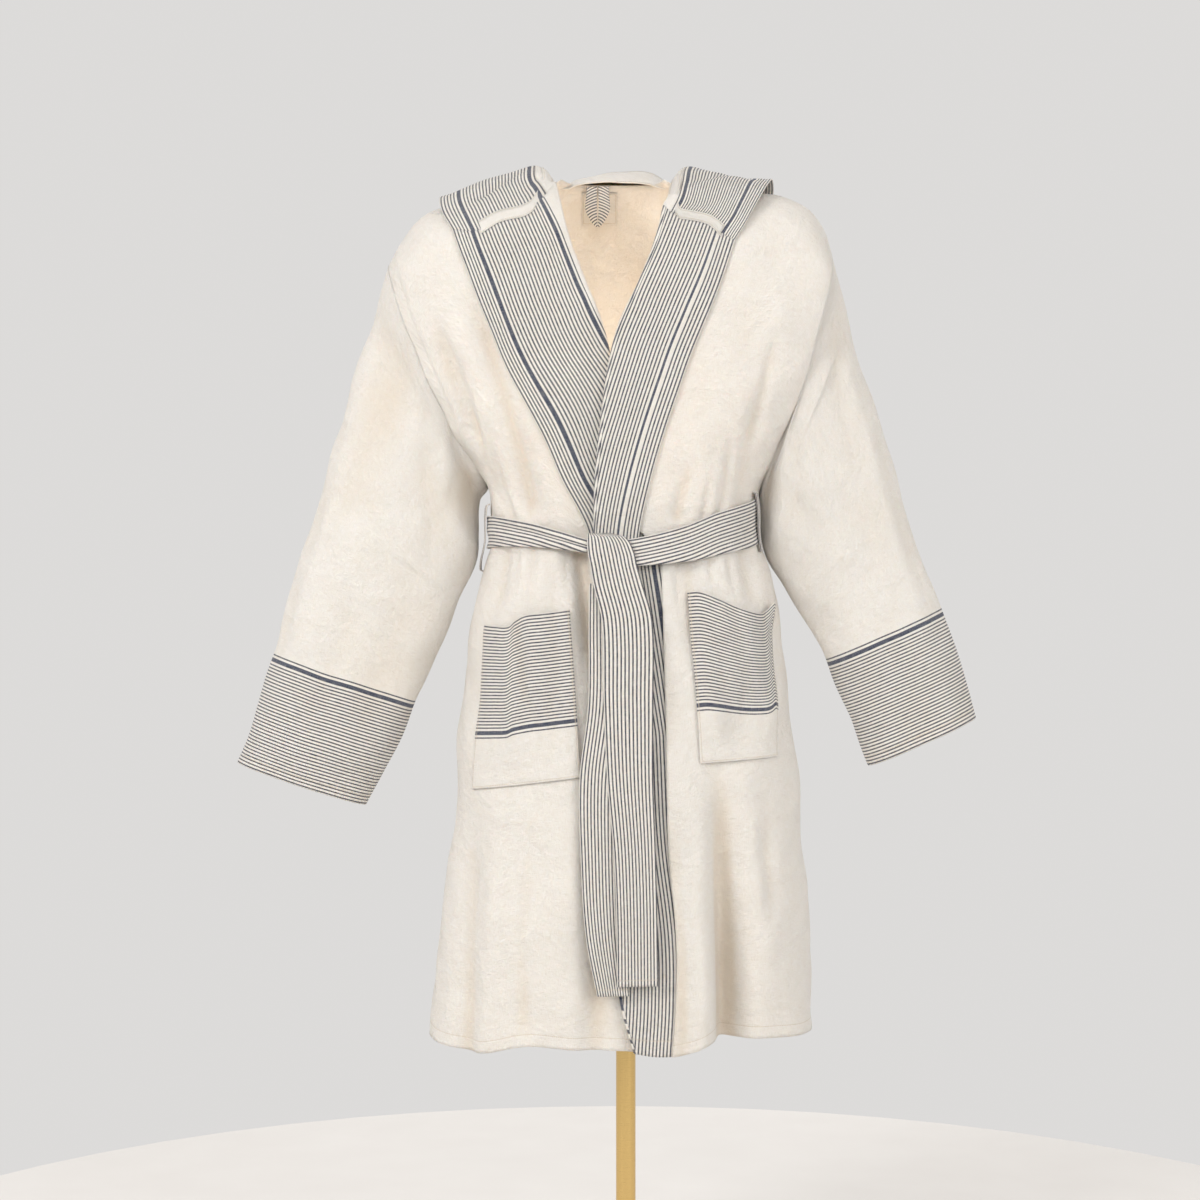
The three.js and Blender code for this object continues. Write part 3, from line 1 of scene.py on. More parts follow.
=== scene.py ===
"""A hooded cotton bathrobe, tied with its own belt, hung filled out on a brass display stand.

Lengths in the formulas are millimetres in the part's frame: +Z up, the front faces -Y, and
right and left are the wearer's. Each piece of cloth is a grid of points, made a thin shell.
"""
import math
import bpy
import numpy as np
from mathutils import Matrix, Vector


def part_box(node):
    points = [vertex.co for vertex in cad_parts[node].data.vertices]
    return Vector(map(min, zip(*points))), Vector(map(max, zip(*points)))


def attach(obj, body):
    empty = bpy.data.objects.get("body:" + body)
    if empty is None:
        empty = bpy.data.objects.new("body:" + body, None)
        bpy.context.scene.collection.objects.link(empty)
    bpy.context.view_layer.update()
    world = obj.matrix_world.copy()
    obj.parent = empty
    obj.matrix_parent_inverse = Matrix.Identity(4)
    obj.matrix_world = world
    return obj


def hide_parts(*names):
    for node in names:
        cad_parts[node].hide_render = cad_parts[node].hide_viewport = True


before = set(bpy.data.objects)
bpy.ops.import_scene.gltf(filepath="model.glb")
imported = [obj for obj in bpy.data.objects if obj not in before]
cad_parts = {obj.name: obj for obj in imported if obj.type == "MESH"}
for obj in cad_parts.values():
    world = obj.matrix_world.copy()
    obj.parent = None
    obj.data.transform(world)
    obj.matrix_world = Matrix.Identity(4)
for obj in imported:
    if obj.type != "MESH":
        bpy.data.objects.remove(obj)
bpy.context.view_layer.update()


# Cream cotton and the woven border
# The whole robe is one light plain-weave cotton, undyed. Its border is woven with navy lines,
# and the thread is a little uneven, so the cloth is slubby and softly crumpled.
class Thread:
    """A socket in a material: + - * / on it and on plain numbers add Math nodes."""

    def __init__(self, look, socket):
        self.look, self.socket = look, socket

    def maths(self, operation, *values):
        return self.look.node("ShaderNodeMath", {"operation": operation}, *values)

    def __add__(self, other):
        return self.maths("ADD", self, other)

    def __sub__(self, other):
        return self.maths("SUBTRACT", self, other)

    def __mul__(self, other):
        return self.maths("MULTIPLY", self, other)

    def __truediv__(self, other):
        return self.maths("DIVIDE", self, other)

    def __rsub__(self, other):
        return self.maths("SUBTRACT", other, self)

    __radd__, __rmul__ = __add__, __mul__

    def size(self):
        return self.maths("ABSOLUTE", self)

    def within(self, half, soft):
        """1 where the value is nearer to 0 than half, fading over soft."""
        ramp = {"data_type": "FLOAT", "interpolation_type": "SMOOTHSTEP"}
        return self.look.node("ShaderNodeMapRange", ramp, self.size(), half - soft, half + soft, 1.0, 0.0)


class Look:
    """A material whose Principled shader takes values or threads by the socket's name."""

    def __init__(self, name, **fixed):
        self.material = bpy.data.materials.new(name)
        self.material.use_nodes = True
        self.tree = self.material.node_tree
        self.shader = self.tree.nodes["Principled BSDF"]
        self.set(**fixed)

    def set(self, **sockets):
        for name, value in sockets.items():
            self.join(self.shader.inputs[name.replace("_", " ")], value)

    def join(self, socket, value):
        if isinstance(value, Thread):
            self.tree.links.new(value.socket, socket)
        else:
            socket.default_value = value

    def node(self, kind, settings, *values, out=0, **named):
        """Adds a node: its settings first, then its sockets in order or by name."""
        made = self.tree.nodes.new(kind)
        for name, value in settings.items():
            setattr(made, name, value)
        for socket, value in zip(made.inputs, values):
            self.join(socket, value)
        for name, value in named.items():
            self.join(made.inputs[name], value)
        return Thread(self, made.outputs[out])

    def blend(self, share, first, second):
        """The first colour, turning to the second as share goes to 1."""
        made = self.tree.nodes.new("ShaderNodeMix")
        made.data_type = "RGBA"
        self.join(made.inputs[0], share)
        self.join(made.inputs[6], first)
        self.join(made.inputs[7], second)
        return Thread(self, made.outputs[2])


CREAM = (0.915, 0.865, 0.80, 1)
WARM_PAINTED_SHADE = (0.76, 0.60, 0.41, 1)  # painted shade: the warm light through the cloth in a valley, painted into the colour
NAVY = (0.028, 0.034, 0.058, 1)
DEEP_NAVY = (0.035, 0.047, 0.085, 1)


def cotton(name, wides=(), end=0.0, half=0.62):
    """Cloth whose UV counts stripes: u across them and v along them, one unit a stripe's pitch.
    A thin line lies in the middle of each unit up to `end`, a wide line at each of `wides`,
    and past `end` the cloth is cream. The attribute `valley` is how deep a fold is there, and
    `stitch` is the distance in millimetres to a line of stitches."""
    look = Look(name, Roughness=0.92, Sheen_Weight=0.2, Sheen_Roughness=0.5, Specular_IOR_Level=0.2,
                Subsurface_Weight=0.12, Subsurface_Radius=(1.0, 0.7, 0.45), Subsurface_Scale=0.003)
    place = look.node("ShaderNodeUVMap", {"uv_map": "cloth"})
    across = look.node("ShaderNodeSeparateXYZ", {}, place)
    along_it = look.node("ShaderNodeSeparateXYZ", {}, place, out=1)
    valley = look.node("ShaderNodeAttribute", {"attribute_name": "valley"}, out=2)
    to_stitch = look.node("ShaderNodeAttribute", {"attribute_name": "stitch"}, out=2)
    # slubs: long thin noise both ways, and cloudy unevenness
    long_ways = look.node("ShaderNodeCombineXYZ", {}, across * 9.0, along_it * 0.45)
    cross_ways = look.node("ShaderNodeCombineXYZ", {}, across * 0.45, along_it * 9.0)
    slub_long = look.node("ShaderNodeTexNoise", {}, Vector=long_ways, Scale=1.0, Detail=2.0)
    slub_cross = look.node("ShaderNodeTexNoise", {}, Vector=cross_ways, Scale=1.0, Detail=2.0)
    slub = slub_long + slub_cross - 1.0
    cloud = look.node("ShaderNodeTexNoise", {}, Vector=place, Scale=0.12, Detail=3.0)
    cream = look.blend(slub * 0.8 + cloud * 0.25, CREAM, (0.72, 0.61, 0.48, 1))
    # painted shade: the colour turns darker and warmer with the fold's depth in `valley`
    cream = look.blend(valley * 0.36, cream, WARM_PAINTED_SHADE)
    colour = cream
    if end:
        unit = look.node("ShaderNodeMath", {"operation": "FRACT"}, across)
        thin = (unit - 0.5).within(0.21, 0.05)
        inside = (across - end / 2).within(end / 2 - 0.02, 0.02)
        wide_lines = 0.0
        for wide in wides:
            from_wide = across - wide
            thin = thin * (1 - from_wide.within(1.1, 0.02))
            wide_lines = from_wide.within(half, 0.08) + wide_lines
        colour = look.blend(thin * inside * (0.90 + slub * 0.7), colour, NAVY)
        if wides:
            colour = look.blend(wide_lines * (0.94 + slub * 0.6), colour, DEEP_NAVY)
    # stitches 2.5 mm long in cream thread, in a line that draws the cloth in
    dash = look.node("ShaderNodeMath", {"operation": "FRACT"}, (across + along_it) * 1.7)
    sewn = to_stitch.within(0.5, 0.2) * (dash - 0.5).within(0.38, 0.08)
    drawn_in = to_stitch.within(1.6, 1.2)
    colour = look.blend(sewn * 0.8, colour, (0.70, 0.60, 0.47, 1))
    # the weave: threads about 0.6 mm apart, soft crumples a finger wide, and a few pressed creases
    weave = look.node("ShaderNodeMath", {"operation": "SINE"}, across * 44.0) * \
        look.node("ShaderNodeMath", {"operation": "SINE"}, along_it * 44.0)
    crumple = look.node("ShaderNodeTexNoise", {}, Vector=place, Scale=0.17, Detail=5.0, Roughness=0.66)
    bent = look.node("ShaderNodeTexNoise", {}, Vector=place, Scale=0.05, Detail=2.0, out=1)
    bent = look.node("ShaderNodeVectorMath", {"operation": "MULTIPLY"}, bent, (14.0, 14.0, 0.0))
    bent = look.node("ShaderNodeVectorMath", {"operation": "ADD"}, place, bent)
    cells = look.node("ShaderNodeTexVoronoi", {"feature": "DISTANCE_TO_EDGE"}, Vector=bent, Scale=0.045)
    crease = cells.within(0.03, 0.03)
    height = weave * 0.12 + slub * 2.0 + crumple * 12.0 + crease * 1.2 + sewn * 0.3 - drawn_in * 0.6
    look.set(Base_Color=colour)
    look.set(Normal=look.node("ShaderNodeBump", {}, Strength=0.75, Distance=0.0012, Height=height))
    return look.material


plain_cotton = cotton("plain cream cotton")
border_cotton = cotton("cotton with the wide border", wides=(6.0, 28.0), end=30.0)
border_left = cotton("cotton with the border, its wide line in a fold", wides=(6.2, 28.0), end=30.0,
                     half=0.34)
end_cotton = cotton("cotton with the end border", wides=(33.0,), end=35.0)
ticking = cotton("ticking-striped cotton", end=400.0)


def shell(name, points, uv, look, on, thick=1.5, valley=None,
          stitch=None, closed=False):
    """A thin shell on a grid of points, rows by columns, in millimetres. uv is a pair of grids
    that count stripes across and along. A closed grid joins its last column to its first.
    on, what carries it, is not used."""
    rows, cols = points.shape[:2]
    number = np.arange(rows * cols).reshape(rows, cols)
    right = np.roll(number, -1, axis=1) if closed else number[:, 1:]
    left = number if closed else number[:, :-1]
    faces = np.stack([left[:-1], right[:-1], right[1:], left[1:]], axis=-1).reshape(-1, 4)
    mesh = bpy.data.meshes.new(name)
    mesh.from_pydata(points.reshape(-1, 3) * 0.001, [], faces)
    count = np.stack(np.broadcast_arrays(*uv), axis=-1).astype(float)
    if closed:
        turn = 2 * count[:, -1, 1] - count[:, -2, 1]
        count = np.concatenate([count, count[:, :1]], axis=1)
        count[:, -1, 1] = turn
    corners = np.stack([count[:-1, :-1], count[:-1, 1:], count[1:, 1:], count[1:, :-1]], axis=2)
    layer = mesh.uv_layers.new(name="cloth")
    layer.data.foreach_set("uv", corners.reshape(-1).astype(np.float32))
    # valley is a fold's depth, which the cotton materials turn into painted warm shade
    for kind, value, plain in (("valley", valley, 0.0), ("stitch", stitch, 99.0)):
        full = np.broadcast_to(plain if value is None else value, (rows, cols)).reshape(-1)
        full = full.astype(np.float32)
        mesh.attributes.new(kind, "FLOAT", "POINT").data.foreach_set("value", full)
    mesh.shade_smooth()
    mesh.materials.append(look)
    piece = bpy.data.objects.new(name, mesh)
    bpy.context.scene.collection.objects.link(piece)
    wall = piece.modifiers.new("cloth thickness", "SOLIDIFY")
    wall.thickness = thick * 0.001
    wall.offset = 0
    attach(piece, "root")
    return piece


# The back and the two fronts
# Cut in one length from shoulder to hem. They hang filled out in rings that are squarer than an
# ellipse, widest at the hem and drawn in by the belt, with long troughs where the cloth is slack.
def table(columns, *rows):
    """Rows of numbers under named columns."""
    return dict(zip(columns.split(), np.array(rows, float).T))


def along(rows, key, at, column):
    """A smooth cubic through a table's rows: the column's value where the key is `at`."""
    keys, values = rows[key], rows[column]
    at = np.asarray(at, float)
    slope = np.gradient(values)
    slope[1:-1] = (values[2:] - values[:-2]) / (keys[2:] - keys[:-2])
    slope[0] = (values[1] - values[0]) / (keys[1] - keys[0])
    slope[-1] = (values[-1] - values[-2]) / (keys[-1] - keys[-2])
    i = np.searchsorted(keys[1:-1], at)
    span = keys[i + 1] - keys[i]
    t = np.clip((at - keys[i]) / span, 0, 1)
    start, end = values[i], values[i + 1]
    lead = t * (1 - t) ** 2 * span * slope[i]
    tail_part = t * t * (t - 1) * span * slope[i + 1]
    return start + (end - start) * t * t * (3 - 2 * t) + lead + tail_part


def mix(a, b, share):
    """From a to b by a share."""
    return a + (b - a) * share


def smooth(t):
    """0 to 1 with level ends."""
    s = np.clip(t, 0, 1)
    return s * s * (3 - 2 * s)


HEM, BELT = 357, 985
SQUARE = 2.4  # power of the rings' squared ellipse
CLOSING = 85  # height in which a ring closes over the shoulder
BODY = table(
    "z right left front back mid turn",
    (357, -250, 246, -132, 162, 22, 28), (480, -238, 238, -134, 157, 20, 22),
    (600, -222, 226, -135, 150, 16, 14), (735, -214, 213, -134, 140, 12, 7),
    (880, -197, 192, -130, 127, 6, 3), (955, -178, 175, -122, 117, 2, 0),
    (985, -171, 165, -117, 111, 0, 0), (1020, -174, 163, -121, 113, 0, 0),
    (1055, -182, 167, -127, 117, 2, 0), (1157, -258, 232, -130, 124, 6, 0),
    (1260, -316, 290, -122, 126, 10, 0), (1336, -345, 315, -108, 120, 10, 0),
    (1460, -352, 322, -90, 106, 10, 0))
SHOULDER = table(
    "x z",
    (-345, 1268), (-302, 1336), (-286, 1366), (-263, 1395), (-235, 1409), (-190, 1419),
    (-95, 1440), (-62, 1458), (30, 1458), (62, 1440), (130, 1430), (191, 1425), (215, 1417),
    (236, 1404), (253, 1379), (261, 1353), (300, 1290))
EDGES = table(  # roll of each lapel and its free edge
    "z roll_right free_right roll_left free_left",
    (357, 148, -45, 12, 16), (700, 118, -45, -20, 16), (950, 60, -45, -38, 14),
    (993, 42, -48, -40, 16), (1055, 20, -79, -39, 29), (1116, -1, -106, -33, 47),
    (1187, -16, -145, -24, 71), (1243, -29, -169, -11, 93), (1300, -51, -191, 15, 116),
    (1362, -73, -214, 38, 137), (1436, -90, -236, 52, 165))
SKIRT = table(  # left front below the belt: the panel's seam and the band's fold
    "z seam fold",
    (347, 55, 12), (417, 60, -8), (490, 60, -14), (613, 50, -22), (742, 48, -30),
    (809, 46, -34), (947, 42, -40), (985, 41, -41))
FOLD_COLUMNS = "z1 z2 x1 x2 x3 depth half top foot"
FRONT_FOLDS = table(  # troughs from z1 down to z2 through x1, x2, x3
    FOLD_COLUMNS,
    (1310, 1000, -206, -152, -117, 13, 15, 0.3, 0.1), (1270, 1090, -243, -220, -186, 8, 12, 0.3, 0.3),
    (972, 790, -62, -50, -44, 15, 13, 0.05, 0.6), (960, 600, -92, -90, -108, 9, 14, 0.1, 0.5),
    (975, 860, -152, -162, -174, 8, 12, 0.05, 0.5), (700, 350, -196, -198, -202, 12, 16, 0.6, 0),
    (640, 350, -48, -44, -38, 12, 18, 0.6, 0), (972, 780, 74, 78, 84, 7, 12, 0.05, 0.5),
    (972, 880, 146, 152, 158, 9, 12, 0.05, 0.5), (1180, 1000, 160, 150, 138, 7, 12, 0.4, 0.1),
    (1085, 1000, 82, 72, 62, 6, 11, 0.4, 0.1), (900, 690, 110, 122, 146, 10, 18, 0.4, 0.4),
    (780, 350, 110, 124, 134, 52, 21, 0.9, 0), (640, 350, 84, 92, 96, -10, 22, 0.7, 0),
    # smaller creases
    (1262, 1090, -238, -204, -184, 5, 7, 0.3, 0.2), (1180, 1010, -196, -180, -150, 4, 6, 0.4, 0.1),
    (1120, 1004, -172, -160, -140, 4, 5, 0.5, 0.05), (1090, 1004, -140, -133, -122, 3, 5, 0.5, 0.05),
    (1250, 1080, 190, 168, 150, 4, 8, 0.3, 0.3), (1130, 1004, 132, 124, 112, 4, 6, 0.5, 0.05),
    (1075, 1004, 104, 98, 94, 3, 5, 0.5, 0.05), (972, 900, -118, -120, -124, 5, 7, 0.05, 0.6),
    (972, 915, -136, -139, -144, 4, 5, 0.05, 0.6), (972, 880, -78, -76, -74, 4, 6, 0.05, 0.6),
    (972, 860, 60, 62, 66, 4, 6, 0.05, 0.7), (972, 890, 100, 104, 110, 4, 6, 0.05, 0.6),
    (972, 905, 124, 128, 134, 4, 6, 0.05, 0.6), (690, 360, -122, -126, -128, 4, 12, 0.5, 0.1),
    (660, 420, -160, -164, -168, -4, 12, 0.5, 0.4), (560, 360, 66, 70, 72, 4, 9, 0.5, 0.0),
    (680, 480, 168, 176, 184, 5, 10, 0.5, 0.4))
BACK_FOLDS = table(
    FOLD_COLUMNS,
    (968, 700, -112, -118, -128, 11, 17, 0.05, 0.7), (968, 640, -22, -30, -34, 13, 19, 0.05, 0.7),
    (968, 690, 76, 84, 96, 11, 17, 0.05, 0.7), (1190, 1004, -70, -84, -96, 8, 18, 0.6, 0.05),
    (1200, 1004, 52, 48, 40, 8, 18, 0.6, 0.05), (720, 350, -150, -158, -166, 22, 24, 0.8, 0),
    (690, 350, 16, 22, 24, 24, 26, 0.8, 0), (720, 350, 138, 148, 156, 20, 24, 0.8, 0),
    # smaller creases
    (968, 880, -150, -154, -160, 5, 7, 0.05, 0.6), (968, 860, -82, -86, -90, 5, 7, 0.05, 0.6),
    (968, 890, -54, -58, -60, 4, 6, 0.05, 0.6), (968, 870, 12, 10, 8, 5, 7, 0.05, 0.6),
    (968, 885, 44, 48, 52, 4, 6, 0.05, 0.6), (968, 860, 112, 118, 126, 5, 7, 0.05, 0.6),
    (968, 900, 140, 146, 150, 4, 6, 0.05, 0.6), (1150, 1004, -130, -132, -136, 5, 9, 0.6, 0.05),
    (1120, 1004, -30, -26, -24, 5, 8, 0.6, 0.05), (1100, 1004, 90, 92, 96, 5, 9, 0.6, 0.05),
    (1080, 1004, 128, 130, 134, 4, 6, 0.6, 0.05), (1300, 1120, -206, -190, -170, 6, 12, 0.3, 0.4),
    (1300, 1120, 190, 176, 156, 6, 12, 0.3, 0.4), (640, 360, -80, -86, -92, -7, 18, 0.6, 0.0),
    (640, 360, 84, 90, 92, -7, 18, 0.6, 0.0))


def fold_depth(folds, x, z):
    """Depth of all troughs at x, z: along each trough's bent line a bell-shaped hollow, which
    fades in over its top share and out over its foot share."""
    total = 0
    for z1, z2, x1, x2, x3, depth, half, top, foot in zip(*folds.values()):
        s = (z1 - z) / (z1 - z2)
        way = (1 - s) ** 2 * x1 + 2 * s * (1 - s) * (2 * x2 - (x1 + x3) / 2) + s * s * x3
        head = smooth(s / top) if top > 0 else 1
        end = smooth((1 - s) / foot) if foot > 0 else 1
        on = (s > 0) & (s <= 1.05)
        total = total + on * depth * head * end * np.exp(-(((x - way) / half) ** 2))
    return total


drape = np.random.default_rng(7)
DRAPE_WAVES = [(drape.normal(size=3) * rate, drape.uniform(0, 6.3), size)
               for rate, size in [(0.018, 1.3)] * 4 + [(0.045, 0.8)] * 5 + [(0.10, 0.4)] * 6]


def rumple(x, y, z):
    """Slight unevenness of hanging cotton: a few long, middling and short waves, in mm."""
    return sum(size * np.sin(wave[0] * x + wave[1] * y + 0.45 * wave[2] * z + start)
               for wave, start, size in DRAPE_WAVES)


def ring(turn, z, off=0.0, folds=1.0):
    """Points of the body's ring at a height: turn in radians from the front's middle, positive
    to the left. The section is a squared ellipse that closes over the shoulders; the point
    moves off along the surface, less the troughs. Also gives x before that move."""
    turn, z = np.broadcast_arrays(np.asarray(turn, float), np.asarray(z, float))
    right, left, front, back, middle, twist = (
        along(BODY, "z", z, column) for column in ("right", "left", "front", "back", "mid", "turn"))
    s, c = np.sin(turn), np.cos(turn)
    across = np.sign(s) * np.abs(s) ** (2 / SQUARE)
    deep = np.sign(c) * np.abs(c) ** (2 / SQUARE)
    half = (left - right) / 2
    x = (left + right) / 2 + half * across
    depth = np.where(c > 0, middle - front, back - middle)
    drop = np.clip((along(SHOULDER, "x", x, "z") - z) / CLOSING, 0, 1)
    y = middle + twist * across - depth * deep * np.sqrt(1 - (1 - drop) ** 2)
    nx = np.sign(across) * np.abs(across) ** (SQUARE - 1) / half
    ny = -np.sign(deep) * np.abs(deep) ** (SQUARE - 1) / depth
    flat = np.maximum(np.hypot(nx, ny), 1e-9)
    up = 1 - drop
    level = np.sqrt(1 - up * up)
    dent = np.where(c > 0, fold_depth(FRONT_FOLDS, x, z), fold_depth(BACK_FOLDS, x, z))
    dent = dent * smooth(np.abs(c) / 0.22) * folds
    dent = dent + rumple(x, y, z) * min(1.0, abs(folds) + 0.4)
    move = level * (off - dent) / flat
    return np.stack([x + nx * move, y + ny * move, z + up * off], axis=-1), x


def turn_at(x, z):
    """The turn of the front's point at x."""
    right, left = along(BODY, "z", z, "right"), along(BODY, "z", z, "left")
    across = np.clip((x - (right + left) / 2) / ((left - right) / 2), -1, 1)
    return np.arcsin(np.sign(across) * np.abs(across) ** (SQUARE / 2))


def sink(x, z):
    """How far the under front lies behind the upper one where they overlap."""
    edge_x = np.where(z > BELT, along(EDGES, "z", z, "roll_left"), along(SKIRT, "z", z, "fold"))
    return mix(15, 10.5, smooth((z - BELT + 20) / 40)) * smooth((x - (edge_x - 46)) / 46)


def on_front(side, x, z, off=0.0, folds=1.0):
    """Points on the right (-1) or left (1) front by x and z, moved out."""
    x, z, off = np.broadcast_arrays(x, z, off)
    points, _ = ring(turn_at(x, z), z, off, folds)
    if side < 0:
        points[..., 1] += sink(x, z)
    return points


def on_back(x, z, off=0.0, folds=1.0):
    """Points on the back by x and z, moved out."""
    return ring(math.pi - turn_at(x, z), z, off, folds)[0]


def spans(points, axis):
    """Length along a grid's lines from their start, in millimetres."""
    steps = np.linalg.norm(np.diff(points, axis=axis), axis=-1)
    start = np.zeros_like(steps.take([0], axis=axis))
    return np.concatenate([start, np.cumsum(steps, axis=axis)], axis=axis)


ARMPIT_Z = 1052
ARMPIT = {-1: -181, 1: 166}
TIP = {-1: (-302, 1336), 1: (261, 1353)}
NECK_X = {-1: -95, 1: 62}
HEM_LINE = table(  # the front hem waves a little
    "x z",
    (-250, 357), (-185, 349), (-125, 360), (-60, 356), (0, 352), (35, 346), (70, 347),
    (110, 360), (246, 357))


def hem_drop(x, z):
    """How much the front hem's wave lowers or lifts the cloth, fading 167 mm up."""
    return (along(HEM_LINE, "x", x, "z") - HEM) * np.clip(1 - (z - HEM) / 167, 0, 1)


def armhole_x(side, q):
    """The armhole's seam from the armpit to the shoulder's tip, bowed outwards."""
    bow = side * 12 * np.sin(math.pi * q) * smooth(q * 4)
    return mix(ARMPIT[side], TIP[side][0], q) + bow


def band_seam(side, z):
    """x of the seam between a front panel and its band."""
    if side < 0:
        return mix(24, along(EDGES, "z", z, "roll_right") - 14, smooth((z - 930) / 90))
    above = along(EDGES, "z", z, "roll_left") + 34
    return mix(along(SKIRT, "z", z, "seam"), above, smooth((z - 960) / 60))


def armhole_rows(step):
    """Share up the armhole for even steps: closer together at both ends."""
    return mix(step, (1 - np.cos(math.pi * step)) / 2, 0.6)


def squared(turn):
    """Share across a squared ellipse at a turn."""
    return np.sign(np.sin(turn)) * np.abs(np.sin(turn)) ** (2 / SQUARE)


def front_panel(side, low=150, high=61, cols=100):
    """Rows climb from the hem to the armpit, then along the armhole to the shoulder's ridge;
    columns run from the band's seam to the side seam."""
    share = np.linspace(0, 1, cols)[None, :]
    z = np.linspace(HEM, ARMPIT_Z, low)[:, None]
    turn = mix(turn_at(band_seam(side, z), z), side * math.pi / 2, share)
    lower, x = ring(turn, z)
    z = np.broadcast_to(z, x.shape)
    if side < 0:
        lower[..., 1] += sink(x, z)
    lower[..., 2] += hem_drop(x, z) * smooth(np.cos(turn) * 3)
    q = armhole_rows(np.linspace(0, 1, high)[1:, None])
    top_x = mix(NECK_X[side], TIP[side][0], share)
    z = mix(ARMPIT_Z, along(SHOULDER, "x", top_x, "z"), q)
    seam_z = mix(ARMPIT_Z, along(SHOULDER, "x", NECK_X[side], "z"), q)
    start = mix(band_seam(side, seam_z), NECK_X[side], smooth((q - 0.6) / 0.4))
    turn = mix(turn_at(start, z), side * math.pi / 2, share)
    first = squared(turn_at(start, z))
    crowded = (squared(turn) - first) / (side - first)
    end = armhole_x(side, q)
    x = mix(mix(start, end, crowded), mix(start, end, share), smooth(q / 0.4))
    return np.concatenate([lower, on_front(side, x, z)])


def back_panel(low=150, high=61, cols=150):
    """Like the fronts, from the left side seam round to the right one."""
    u = np.linspace(0, 1, cols)[None, :]
    turn = mix(math.pi / 2, 1.5 * math.pi, u)
    z = np.linspace(HEM, ARMPIT_Z, low)[:, None]
    lower, _ = ring(turn, z)
    q = armhole_rows(np.linspace(0, 1, high)[1:, None])
    stops = table("u x", (0, 261), (0.4, 62), (0.6, -95), (1, -302))
    inside = smooth(np.minimum(u, 1 - u) / 0.04)
    top_x = mix(mix(TIP[1][0], TIP[-1][0], u), np.interp(u, stops["u"], stops["x"]), inside)
    z = mix(ARMPIT_Z, np.minimum(along(SHOULDER, "x", top_x, "z"), 1448), q)
    left, right = armhole_x(1, q), armhole_x(-1, q)
    crowded = mix(right, left, (squared(turn) + 1) / 2)
    even = mix(crowded, mix(left, right, u), smooth(q / 0.4))
    x = mix(even, top_x, smooth(q) * np.maximum(inside, q == 1))
    return np.concatenate([lower, on_back(x, z)])


def valley_of(points, reach=9):
    """How hollow the cloth is: the depth of each point below its neighbours' mean, in each row,
    as a share of 1."""
    pad = np.pad(points, ((0, 0), (reach, reach), (0, 0)), mode="edge")
    near = sum(pad[:, i:i + points.shape[1]] for i in range(0, 2 * reach + 1, 3)) / (2 * reach // 3 + 1)
    out = points * [1, 1, 0] - [0, 10, 0]
    out = out / np.maximum(np.linalg.norm(out, axis=-1, keepdims=True), 1)
    return np.clip(((near - points) * out).sum(-1) / 5.0, 0, 1)


PITCH = 4.4  # one stripe of the border
for name, points, flat, area in (("back", back_panel(), (0.71, 1.16), 0.63),
                                 ("front_right", front_panel(-1), (0.36, 1.19), 0.323),
                                 ("front_left", front_panel(1), (0.34, 1.20), 0.282)):
    up = spans(points, 0)
    piece = shell(name + "_panel", points, (spans(points, 1) / PITCH, up / PITCH), plain_cotton,
                  ("stand_pad_right", "stand_pad_left"), valley=valley_of(points), stitch=up - 15)
    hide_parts(name)


# The sleeves
# Wide sleeves sewn into the armholes, held a little away from the body. The cloth's own striped
# end is the cuff, hemmed once. They hang as flattened tubes with a trough at the armpit.
SLEEVE_COLUMNS = "out_x out_z in_x in_z mid front back"
SLEEVES = {
    -1: table(SLEEVE_COLUMNS,
              (-326, 1256, -186, 1022, 6, 72, 70), (-347, 1190, -188, 992, 3, 70, 66),
              (-361, 1138, -193, 957, 0, 67, 62), (-392, 1036, -212, 909, -4, 62, 58),
              (-417, 953, -237, 846, -8, 57, 54), (-437, 888, -254, 803, -10, 54, 51),
              (-450, 832, -266, 778, -12, 52, 49), (-471, 764, -296, 711, -14, 50, 46),
              (-491, 700, -327, 646, -16, 47, 44)),
    1: table(SLEEVE_COLUMNS,
             (272, 1308, 171, 1024, 6, 70, 68), (283, 1264, 174, 994, 4, 69, 66),
             (295, 1212, 183, 962, 1, 67, 63), (324, 1128, 205, 926, -3, 62, 58),
             (352, 1034, 227, 889, -7, 58, 54), (380, 950, 243, 858, -10, 54, 51),
             (404, 889, 256, 831, -12, 52, 49), (426, 824, 284, 764, -14, 50, 46),
             (447, 759, 311, 698, -16, 47, 44)),
}
SLEEVE_FOLDS = {  # degrees round the section, first and last ring, depth, spread, drift a ring
    -1: [(62, 0, 5, 13, 20, 0), (150, 0, 3, 16, 22, 0), (118, 4, 9, 6, 26, 0), (285, 0, 7, 12, 26, 0),
         (92, 0.4, 4.6, 6, 9, 7), (40, 0.6, 6, 5, 12, 4), (128, 1.0, 5, 5, 10, -4), (20, 3, 9, 5, 14, 2),
         (84, 5, 9, 4, 10, -2), (250, 0.5, 6, 6, 12, 3), (320, 1, 8, 5, 12, -2), (230, 3, 9, 5, 12, 2)],
    1: [(34, 0, 4, 8, 20, 0), (148, 0, 3, 16, 22, 0), (66, 2, 8, 7, 24, 0), (280, 0, 7, 12, 26, 0),
        (96, 0.4, 4.6, 6, 9, 6), (50, 0.6, 6, 5, 12, 3), (126, 1.0, 5, 5, 10, -4), (26, 3, 9, 5, 14, 3),
        (100, 5, 9, 4, 10, -2), (246, 0.5, 6, 6, 12, 3), (318, 1, 8, 5, 12, -2), (226, 3, 9, 5, 12, 2)],
}


def through(rings, at):
    """A smooth cubic through a stack of rings at places counted in rings."""
    i = np.clip(at.astype(int), 0, len(rings) - 2)
    t = (at - i)[:, None, None]
    slope = np.gradient(rings, axis=0)
    a, b = rings[i], rings[i + 1]
    return (a + (b - a) * t * t * (3 - 2 * t) + slope[i] * t * (1 - t) ** 2
            + slope[i + 1] * t * t * (t - 1))


